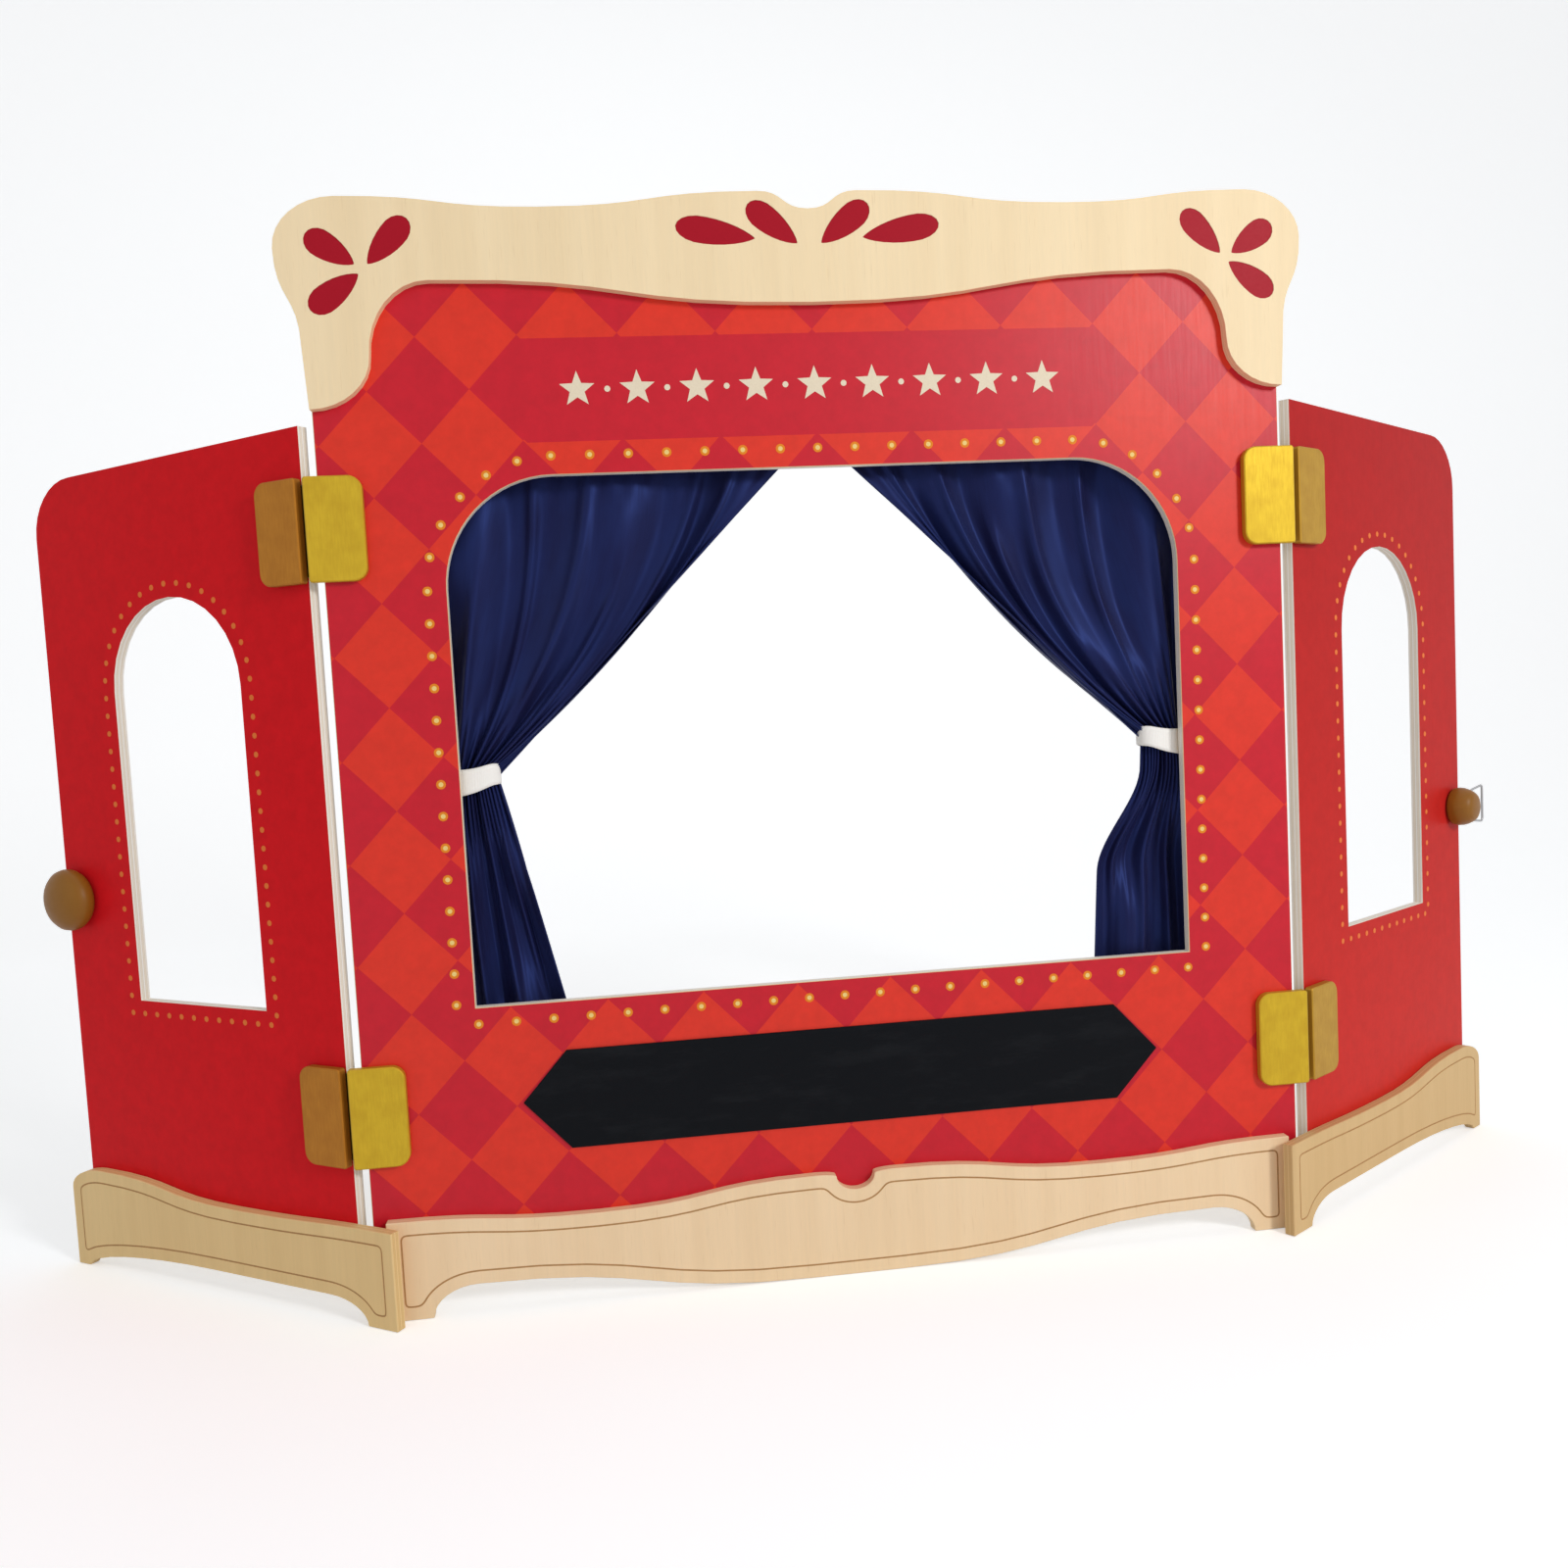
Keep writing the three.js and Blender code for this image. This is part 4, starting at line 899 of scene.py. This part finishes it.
def curtain_cloth(look, side, name, seed):
    """One curtain as a grid: a pocket round the rod, soft folds that fall and turn in to the waist, and a skirt."""
    chance = np.random.default_rng(seed)
    lean = chance.uniform(0, 2 * math.pi, 12)
    upper, lower = draw_folds(look.folds, chance), draw_folds(look.folds - 3, chance)
    share = np.linspace(0, 1, look.folds * 18 + 1)
    low, high = BOX["curtain_" + name]
    outer_x, inner_x = max(abs(low.x), abs(high.x)), min(abs(low.x), abs(high.x))
    top_z, waist_z, hem_z = ROD.z - 7 * MM, centre("tie_back_" + name).z, low.z + 1.2 * MM
    head = outer_x + (inner_x + 4 * MM - outer_x) * share
    waist = WAIST[1] + (WAIST[0] - WAIST[1]) * (1 - share)
    gathers = np.sin(2 * math.pi * 2.2 * look.folds * share + lean[0] + 1.2 * np.sin(9 * share + lean[1]))
    crown = np.sqrt(np.clip(1 - (2 * share - 1) ** 2, 0.1, 1))
    rows = []
    # The pocket: the cloth comes up behind the rod, over it and down in front.
    for i in range(POCKET_ROWS + 1):
        turn = math.radians(-65 + 310 * i / POCKET_ROWS)
        puff = 5.2 * MM + 0.4 * MM * gathers
        rows.append((head, ROD.y + puff * math.cos(turn), ROD.z + puff * math.sin(turn)))
    # From the stitch line to the waist. The middle folds fall almost straight before they turn outwards.
    bend = 1.0 + 1.1 * np.sin(math.pi * share) ** 1.3
    for i in range(FALL_ROWS + 1):
        t = i / FALL_ROWS
        tight = soft_step(t, 0.62, 1.0)
        wave = fold_depth(share, t, upper)
        ripple = 0.10 * np.sin(21 * share + 7 * t + lean[2]) + 0.07 * np.sin(33 * share - 9 * t + lean[3])
        depth = look.fold_depth * ((0.5 + 0.5 * soft_step(t, 0, 0.2)) * (wave + ripple) * (1 - 0.45 * tight))
        depth = depth + look.gather_depth * gathers * (tight**1.4 + 0.3 * (1 - soft_step(t, 0, 0.15)))
        # The middle sags, and bellies out to the front.
        sag = np.sin(math.pi * t) * np.sin(math.pi * share)
        y = ROD.y - 1.6 * MM * sag + depth * (1 - tight + tight * crown)
        rows.append((head + (waist - head) * t**bend, y, top_z + (waist_z - top_z) * t - 2.2 * MM * sag))
    # From the waist down to the hem.
    before = 0.55 * fold_depth(share, 1.0, upper)
    for i in range(1, SKIRT_ROWS + 1):
        t = i / SKIRT_ROWS
        loose = soft_step(t, 0.0, 0.5)
        flare = t**0.95 if side < 0 else 0.72 * soft_step(t, 0.12, 0.56) + 0.28 * t
        inner = WAIST[1] + (HEM_INNER[side] - WAIST[1]) * flare
        outer = WAIST[0] + (outer_x - WAIST[0]) * (1 - (1 - t) ** 3)
        wave = fold_depth(share, t, lower)
        ripple = 0.10 * np.sin(15 * share + 5 * t + lean[4])
        depth = look.fold_depth * ((1 - loose) * before + loose * (wave + ripple))
        depth = depth + look.gather_depth * gathers * (0.04 + 0.96 * (1 - loose) ** 2.4)
        y = ROD.y + depth * (loose + (1 - loose) * crown)
        z = waist_z + (hem_z - waist_z) * t + 1.2 * MM * t * (1 - wave) * 0.5
        rows.append((outer + (inner - outer) * share, y, z))
    grid = np.stack([np.stack([np.broadcast_to(c, share.shape) for c in row], 1) for row in rows])
    grid[..., 0] *= side
    return grid


def cloth_object(name, grid, cut, material, slot_name, thickness, closed=False):
    """Sheet of cloth from a grid of points, given its thickness by a modifier. Its flat cut, as its first width,
    last width and length, is its map."""
    rows, columns = grid.shape[:2]
    faces = quads(rows, columns)
    piece = new_object(name, grid.reshape(-1, 3), faces, "screen", [material], slot_name)
    down, across = np.divmod(np.array(faces).ravel(), columns)
    down, across = down / (rows - 1), across / (columns - 1)
    wide = cut[0] + (cut[1] - cut[0]) * down
    marks = np.stack([cut[0] / 2 + wide * (across - 0.5), cut[2] * down], 1)
    piece.data.uv_layers.new(name="cut").data.foreach_set("uv", marks.ravel())
    if closed:
        with edited(piece) as work:
            bmesh.ops.remove_doubles(work, verts=work.verts, dist=0.01 * MM)
    piece.data.polygons.foreach_set("use_smooth", [True] * len(piece.data.polygons))
    change = piece.modifiers.new("thickness", "SOLIDIFY")
    change.thickness = thickness
    change.offset = 0
    return piece


# ---- operators


class THEATRE_OT_printed_boards(bpy.types.Operator):
    """Screen and wings: plywood printed on the front, with the dots and stars of the print"""

    bl_idname = "theatre.printed_boards"
    bl_label = "Printed boards"

    def execute(self, context):
        look, boards = context.scene.theatre_print, context.scene.theatre_boards
        rear, edge = boards.rear_tone, boards.cut_tone
        material = plywood("harlequin_print", rear, 0, SCREEN_FRONT, harlequin(look), edge, 0.28)
        ease(copy_of_board("main_panel", "screen", material, "harlequin_board"), boards.ease)
        amber, glow = flat_ink("amber_ink", look.amber), flat_ink("pale_amber_ink", look.glow)
        bulbs = [(spot, disc(look.bulb_radius), 0.5) for spot in bulb_spots(look)]
        stars = []
        for i in range(-4, 5):
            stars.append(((i * STAR_PITCH, look.banner_z), star(look.star_radius), 0.4))
            if i < 4:
                stars.append((((i + 0.5) * STAR_PITCH, look.banner_z), disc(1.6 * MM, 10), 0.4))
        cream = flat_ink("cream_ink", look.cream)
        for name, shapes, inks in (("bulb_dots", bulbs, [amber, glow]), ("banner_stars", stars, [cream])):
            plates(name, 0, SCREEN_FRONT - INK, SCREEN_FRONT, shapes, "screen", inks, "harlequin_board")
        small = flat_ink("orange_ink", look.wing_dot)
        # The right wing's red is painted darker towards its top, as shade; the left wing's stays even.
        tones = ((look.left_red, look.left_red), (look.right_red_shaded_top, look.right_red_foot))
        for (side, name), reds in zip(SIDES, tones):
            body = name + "_wing"
            material = plywood("red_print_" + name, rear, side, WING_FRONT, plain_ink_and_shade(*reds), edge, 0.05)
            ease(copy_of_board("wing_panel_" + name, body, material, "wing_board"), boards.ease)
            dot = disc(look.wing_dot_radius, 10)
            shapes = [((side * WING_DOTS_X + x, z), dot, 0.5) for x, z in arch_line(*WING_DOTS)]
            plates("wing_dots_" + name, side, WING_FRONT - INK, WING_FRONT, shapes, body, [small], "wing_board")
        return {"FINISHED"}


class THEATRE_OT_plain_boards(bpy.types.Operator):
    """Crest and base boards: bare plywood, the bases with a scorched line inside their outlines"""

    bl_idname = "theatre.plain_boards"
    bl_label = "Plain boards"

    def execute(self, context):
        boards = context.scene.theatre_boards
        scorched = scorched_wood(boards.scorch)
        front = BOX["crest_board"][0].y - PIN_Y
        material = plywood("crest_basswood", boards.crest_tone, 0, front)
        piece = copy_of_board("crest_board", "screen", material, "crest_ply")
        lacquer = flat_ink("crimson_lacquer", boards.petal_tone)
        past = (front - 1 * MM, front + 7 * MM)
        cut(piece, plates("petal_tool", 0, *past, petal_shapes(boards, 0.1 * MM), None, [material], None))
        ease(piece, boards.ease)
        filled = (front + boards.petal_depth, front + 5.8 * MM)
        plates("crest_petals", 0, *filled, petal_shapes(boards), "screen", [lacquer], "crest_ply")
        # The wing bases take darker tones of the same wood: painted shade.
        for node, body, side, tone, front in (
            ("base_board", "screen", 0, boards.base_tone, BOX["base_board"][0].y - PIN_Y),
            ("wing_base_left", "left_wing", -1, boards.left_base_tone_shaded, WING_BASE_FRONT),
            ("wing_base_right", "right_wing", 1, boards.right_base_tone_shaded, WING_BASE_FRONT),
        ):
            material = plywood("basswood_of_" + node, tone, side, front)
            piece = copy_of_board(node, body, material, "base_ply")
            if side:
                self.carve_foot(piece, side, boards.foot_shift)
            outline, front = front_outline(piece, side)
            ease(piece, boards.ease)
            line = inset_line(outline, boards.groove_inset)
            cut(piece, groove_tool(line, side, front, boards.groove_width, boards.groove_depth, scorched))
            smooth(piece.data)
        return {"FINISHED"}

    def carve_foot(self, piece, side, shift):
        """Carry the arch under a wing's base on towards the hinge, which leaves a narrower foot."""
        place = placed(side)
        inverse = place.inverted()
        start, end, rise = FOOT_SLOPE
        for vertex in piece.data.vertices:
            spot = inverse @ vertex.co
            if start < abs(spot.x) < end and spot.z < rise:
                spot.x -= side * shift
                vertex.co = place @ spot
        piece.data.update()


class THEATRE_OT_chalkboard(bpy.types.Operator):
    """Chalkboard strip with matt slate paint"""

    bl_idname = "theatre.chalkboard"
    bl_label = "Chalkboard strip"

    def execute(self, context):
        boards = context.scene.theatre_boards
        piece = copy_of_board("chalkboard_strip", "screen", slate_paint(boards.chalk), "chalkboard")
        ease(piece, boards.ease * 0.6)
        return {"FINISHED"}


class THEATRE_OT_hinges(bpy.types.Operator):
    """Hinge covers with gold paint, and leaves and pins of brass"""

    bl_idname = "theatre.hinges"
    bl_label = "Hinges"

    def execute(self, context):
        look = context.scene.theatre_fittings
        brass = drawn_metal("rolled_brass", "#B5A15A", 0.34, (1, 1, 0.05))
        screen = gold_paint("gold_paint_screen", look.gold, 0)
        # Each wing's covers take the gold darkened as painted shade.
        for (side, name), tone in zip(SIDES, (look.left_gold_in_shade, look.right_gold_in_shade)):
            wing = gold_paint("gold_paint_shaded_wing_" + name, tone, side)
            for end in ("upper_", "lower_"):
                dress("screen_cover_" + end + name, screen)
                dress("wing_cover_" + end + name, wing)
                for part in ("screen_leaf_", "wing_leaf_", "hinge_pin_"):
                    dress(part + end + name, brass)
        return {"FINISHED"}


class THEATRE_OT_knobs(bpy.types.Operator):
    """Stained knobs on the wings, their bolts and the wire bail"""

    bl_idname = "theatre.knobs"
    bl_label = "Knobs and bail"

    def execute(self, context):
        look = context.scene.theatre_fittings
        stained = solid_wood("stained_beech", look.knob, (1, 0.2, 1), 0.42, 3.2)
        steel = drawn_metal("drawn_steel", "#B4B4B8", 0.28, (1, 1, 0.1))
        middle = centre("wire_bail").z
        forwards = Matrix.Rotation(math.radians(90), 4, "X")
        for (side, name), outline in zip(SIDES, (LEFT_KNOB, RIGHT_KNOB)):
            dress("knob_bolt_" + name, steel)
            place = placed(side) @ Matrix.Translation((side * KNOB_U, -KNOB_SEAT, middle)) @ forwards
            profile, body = (*KNOB_HOLE, *outline), name + "_wing"
            piece = turned("turned_knob_" + name, profile, place, body, stained, "stained_wood", look.knob_sides)
            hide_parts("knob_" + name)
            if side > 0:
                place = placed(side) @ Matrix.Translation((BAIL_NEAR, BAIL_DEPTH, middle))
                cut(piece, turned("drill", DRILL, place, None, stained, None, 16))
                smooth(piece.data)
        # The wire bends round at its corners; its inner bar turns in the knob's upright hole.
        near, far = BAIL_RISES
        corners = [(BAIL_NEAR, -near), (BAIL_NEAR, near), (BAIL_FAR, far), (BAIL_FAR, -far)]
        loop = rounded_loop([Vector((u, BAIL_DEPTH, middle + rise)) for u, rise in corners], look.bail_corner)
        path = [placed(1) @ point for point in loop]
        normal = placed(1).to_3x3() @ Vector((0, 1, 0))
        piece = round_bar("bail_wire", path, normal, WIRE_RADIUS, "bail", steel, "steel")
        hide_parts("wire_bail")
        return {"FINISHED"}


class THEATRE_OT_rod(bpy.types.Operator):
    """Curtain rod, its brackets and the pegs of the tie-backs, in bare beech"""

    bl_idname = "theatre.rod"
    bl_label = "Rod, brackets and pegs"

    def execute(self, context):
        look = context.scene.theatre_fittings
        dress("curtain_rod", solid_wood("beech_dowel", look.beech, (0.06, 1, 1), 0.55, 1.2))
        upright = solid_wood("beech_block", look.beech, (1, 1, 0.08), 0.58, 1.2)
        for _, name in SIDES:
            dress("rod_bracket_" + name, upright)
            dress("tie_peg_" + name, upright)
        return {"FINISHED"}


class THEATRE_OT_screws(bpy.types.Operator):
    """Screws on the rear faces, which hold the crest, the base boards and the hinge leaves"""

    bl_idname = "theatre.screws"
    bl_label = "Screws"

    def execute(self, context):
        radius = context.scene.theatre_fittings.screw_radius
        steel = drawn_metal("zinc_plated_steel", "#C4C6C8", 0.36)
        rises = [z + d for z in HINGE_Z for d in (-LEAF_SCREW_RISE, LEAF_SCREW_RISE)]
        spots = [(x * MM, z * MM) for x, z in SCREEN_SCREWS]
        spots += [(side * SCREEN_LEAF_X, z) for side in (-1, 1) for z in rises]
        screw_heads("screws_screen", 0, spots, radius, "screen", steel)
        for side, name in SIDES:
            spots = [(side * x * MM, z * MM) for x, z in WING_SCREWS] + [(side * WING_LEAF_X, z) for z in rises]
            screw_heads("screws_wing_" + name, side, spots, radius, name + "_wing", steel)
        return {"FINISHED"}


class THEATRE_OT_curtains(bpy.types.Operator):
    """Two satin curtains, gathered on the rod and drawn in to their tie-backs"""

    bl_idname = "theatre.curtains"
    bl_label = "Curtains"

    def execute(self, context):
        look = context.scene.theatre_cloth
        material = satin(look.navy)
        head, foot, drop = look.cut
        for side, name in SIDES:
            grid = curtain_cloth(look, side, name, 11 + side)
            piece = cloth_object("satin_curtain_" + name, grid, look.cut, material, "satin", look.thickness)
            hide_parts("curtain_" + name)
        return {"FINISHED"}


class THEATRE_OT_tie_backs(bpy.types.Operator):
    """Ribbon tie-backs round the waists of the curtains, each looped on its peg"""

    bl_idname = "theatre.tie_backs"
    bl_label = "Tie-backs"

    def execute(self, context):
        look = context.scene.theatre_cloth
        material = ribbon(look.ribbon)
        brass = drawn_metal("brass_eyelet", "#C9B272", 0.3)
        long, wide = RIBBON_CUT
        for side, name in SIDES:
            peg, middle = centre("tie_peg_" + name), centre("tie_back_" + name)
            low, high = BOX["tie_back_" + name]
            half = (high.y - low.y) / 2 - 0.6 * MM
            near, nose = WAIST[1] - 1.3 * MM, WAIST[0] + 0.6 * MM
            span, cx = (nose - near) / 2, (nose + near) / 2
            columns = []
            for i in range(LOOP_POINTS + 1):
                turn = 2 * math.pi * i / LOOP_POINTS
                c, s = math.cos(turn), math.sin(turn)
                out = -span * math.copysign(abs(c) ** 0.8, c)
                y = ROD.y + half * math.copysign(abs(s) ** 0.75, s)
                # The ribbon rises and narrows towards the middle of the stage, and is creased.
                foot = middle.z + 0.22 * out - 0.6 * MM + 0.25 * MM * math.sin(5 * turn)
                tall = 6.4 * MM - 1.0 * MM * out / span
                columns.append([(side * (cx - out), y, foot + tall * k) for k in np.linspace(-1, 1, LOOP_ROWS)])
            grid = np.array(columns).transpose(1, 0, 2)
            grid[:, -1] = grid[:, 0]
            loop = "ribbon_loop_" + name
            piece = cloth_object(loop, grid, (long, long, wide), material, "ribbon", RIBBON_THICKNESS, closed=True)
            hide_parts("tie_back_" + name)
            tab = self.tab(side, name, nose, (abs(peg.x), peg.z), material)
            ring = [Vector((peg.x + x, ROD.y, peg.z + z)) for x, z in disc(EYELET_RING, 32)]
            eyelet = round_bar("eyelet_" + name, ring, Vector((0, 1, 0)), EYELET_RIM, "screen", brass, "brass")
        return {"FINISHED"}

    def tab(self, side, name, nose, peg, material):
        """End of the ribbon, doubled, from the loop to the peg, with a hole for its eyelet."""
        half_tall, count = 6.0 * MM, 40
        outwards, inwards = 5.6 * MM, peg[0] - nose + 0.6 * MM
        front, back = ROD.y - RIBBON_THICKNESS, ROD.y + RIBBON_THICKNESS
        vertices = []
        for c, s in disc(1, count):
            reach = min((outwards if c > 0 else inwards) / max(abs(c), 1e-6), half_tall / max(abs(s), 1e-6))
            for r, y in ((TAB_HOLE, front), (reach, front), (reach, back), (TAB_HOLE, back)):
                vertices.append((side * (peg[0] + r * c), y, peg[1] + r * s))
        faces = quads(count, 4, wrapped=True)
        piece = new_object("ribbon_tab_" + name, vertices, faces, "screen", [material], "ribbon", solid=True)
        spots = [piece.data.vertices[loop.vertex_index].co for loop in piece.data.loops]
        marks = [value for spot in spots for value in (spot.x, spot.z)]
        piece.data.uv_layers.new(name="cut").data.foreach_set("uv", marks)
        return piece


class THEATRE_OT_stage(bpy.types.Operator):
    """Pale floor and backdrop, soft lamps and the camera"""

    bl_idname = "theatre.stage"
    bl_label = "Stage"

    def execute(self, context):
        scene, look = context.scene, context.scene.theatre_stage
        self.backdrop(look)
        for name, spot, size, power in LAMPS:
            lamp = bpy.data.lights.new(name, "AREA")
            lamp.shape, lamp.size, lamp.energy = "SQUARE", size, power
            self.stand(name, lamp, spot, (MIDDLE - Vector(spot)).to_track_quat("-Z", "Y"))

        scene.world = bpy.data.worlds.new("studio")
        scene.world.use_nodes = True
        tree = scene.world.node_tree
        tree.nodes.clear()
        strength = lay(tree, "MapRange", (seen_by_camera(tree), 0.0, 1.0, 0.4, 1.0))
        lay(tree, "OutputWorld", (lay(tree, "Background", ((1, 1, 1, 1), strength)),))

        camera = bpy.data.cameras.new("camera")
        camera.lens, camera.sensor_width = look.focal, 36
        a, e = look.azimuth, look.elevation
        back = Vector((math.sin(a) * math.cos(e), -math.cos(a) * math.cos(e), math.sin(e)))
        level = (-back).to_track_quat("-Z", "Y").to_matrix().to_4x4()
        turn = (level @ Matrix.Rotation(look.roll, 4, "Z")).to_quaternion()
        scene.camera = self.stand("camera", camera, MIDDLE + back * look.distance, turn)
        scene.view_settings.view_transform = "Standard"
        return {"FINISHED"}

    def stand(self, name, data, spot, turn):
        """Put a lamp or the camera in its place."""
        made = bpy.data.objects.new(name, data)
        made.location = spot
        made.rotation_mode = "QUATERNION"
        made.rotation_quaternion = turn
        bpy.context.scene.collection.objects.link(made)
        return made

    def backdrop(self, look):
        """Seamless paper that runs back and curves up behind."""
        near, foot, bend, top, half_width = -3.0, 1.2, 0.8, 4.0, 4
        turns = [math.radians(d) for d in range(6, 91, 6)]
        profile = [(near, 0), (foot, 0)]
        profile += [(foot + bend * math.sin(t), bend - bend * math.cos(t)) for t in turns] + [(foot + bend, top)]
        vertices = [(x, y, z - 0.2 * MM) for y, z in profile for x in (-half_width, half_width)]
        faces = [(2 * i, 2 * i + 1, 2 * i + 3, 2 * i + 2) for i in range(len(profile) - 1)]
        material, tree = blank("seamless_paper")
        # The camera and mirrored rays see the paper a little brighter than it lights the theatre, and more so
        # where it curves up, so that floor and backdrop come out as one white.
        axes = lay(tree, "SeparateXYZ", (own_place(tree),))
        rising = lay(tree, "MapRange", (axes.outputs["Y"], 0.2, 1.2, 0.36, 0.46))
        inputs = {
            "Base Color": look.floor,
            "Roughness": 0.9,
            "Specular IOR Level": 0.1,
            "Emission Color": (1, 1, 1, 1),
            "Emission Strength": lay(tree, "Math", (seen_by_camera(tree), rising), operation="MULTIPLY"),
        }
        surface(tree, inputs)
        new_object("backdrop", vertices, faces, None, [material], crease=35)


class THEATRE_PT_panel(bpy.types.Panel):
    """Sizes, colours and steps of the theatre"""

    bl_idname = "THEATRE_PT_panel"
    bl_label = "Puppet theatre"
    bl_space_type = "VIEW_3D"
    bl_region_type = "UI"
    bl_category = "Theatre"

    def draw(self, context):
        for title, key, _ in GROUPS:
            box = self.layout.box()
            box.label(text=title)
            group = getattr(context.scene, key)
            for name in group.__annotations__:
                box.prop(group, name)
        for step in STEPS:
            self.layout.operator(step.bl_idname)


GROUPS = (
    ("Boards", "theatre_boards", THEATRE_PG_boards),
    ("Print", "theatre_print", THEATRE_PG_print),
    ("Fittings", "theatre_fittings", THEATRE_PG_fittings),
    ("Cloth", "theatre_cloth", THEATRE_PG_cloth),
    ("Stage", "theatre_stage", THEATRE_PG_stage),
)
STEPS = (
    THEATRE_OT_stage,
    THEATRE_OT_printed_boards,
    THEATRE_OT_plain_boards,
    THEATRE_OT_chalkboard,
    THEATRE_OT_hinges,
    THEATRE_OT_knobs,
    THEATRE_OT_rod,
    THEATRE_OT_screws,
    THEATRE_OT_curtains,
    THEATRE_OT_tie_backs,
)
CLASSES = (*(group for _, _, group in GROUPS), *STEPS, THEATRE_PT_panel)


def register():
    for piece in CLASSES:
        bpy.utils.register_class(piece)
    for _, key, group in GROUPS:
        setattr(bpy.types.Scene, key, PointerProperty(type=group))


def unregister():
    for _, key, _ in GROUPS:
        delattr(bpy.types.Scene, key)
    for piece in reversed(CLASSES):
        bpy.utils.unregister_class(piece)


def main():
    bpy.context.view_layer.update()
    register()
    for step in STEPS:
        family, name = step.bl_idname.split(".")
        getattr(getattr(bpy.ops, family), name)()


if __name__ == "__main__":
    main()
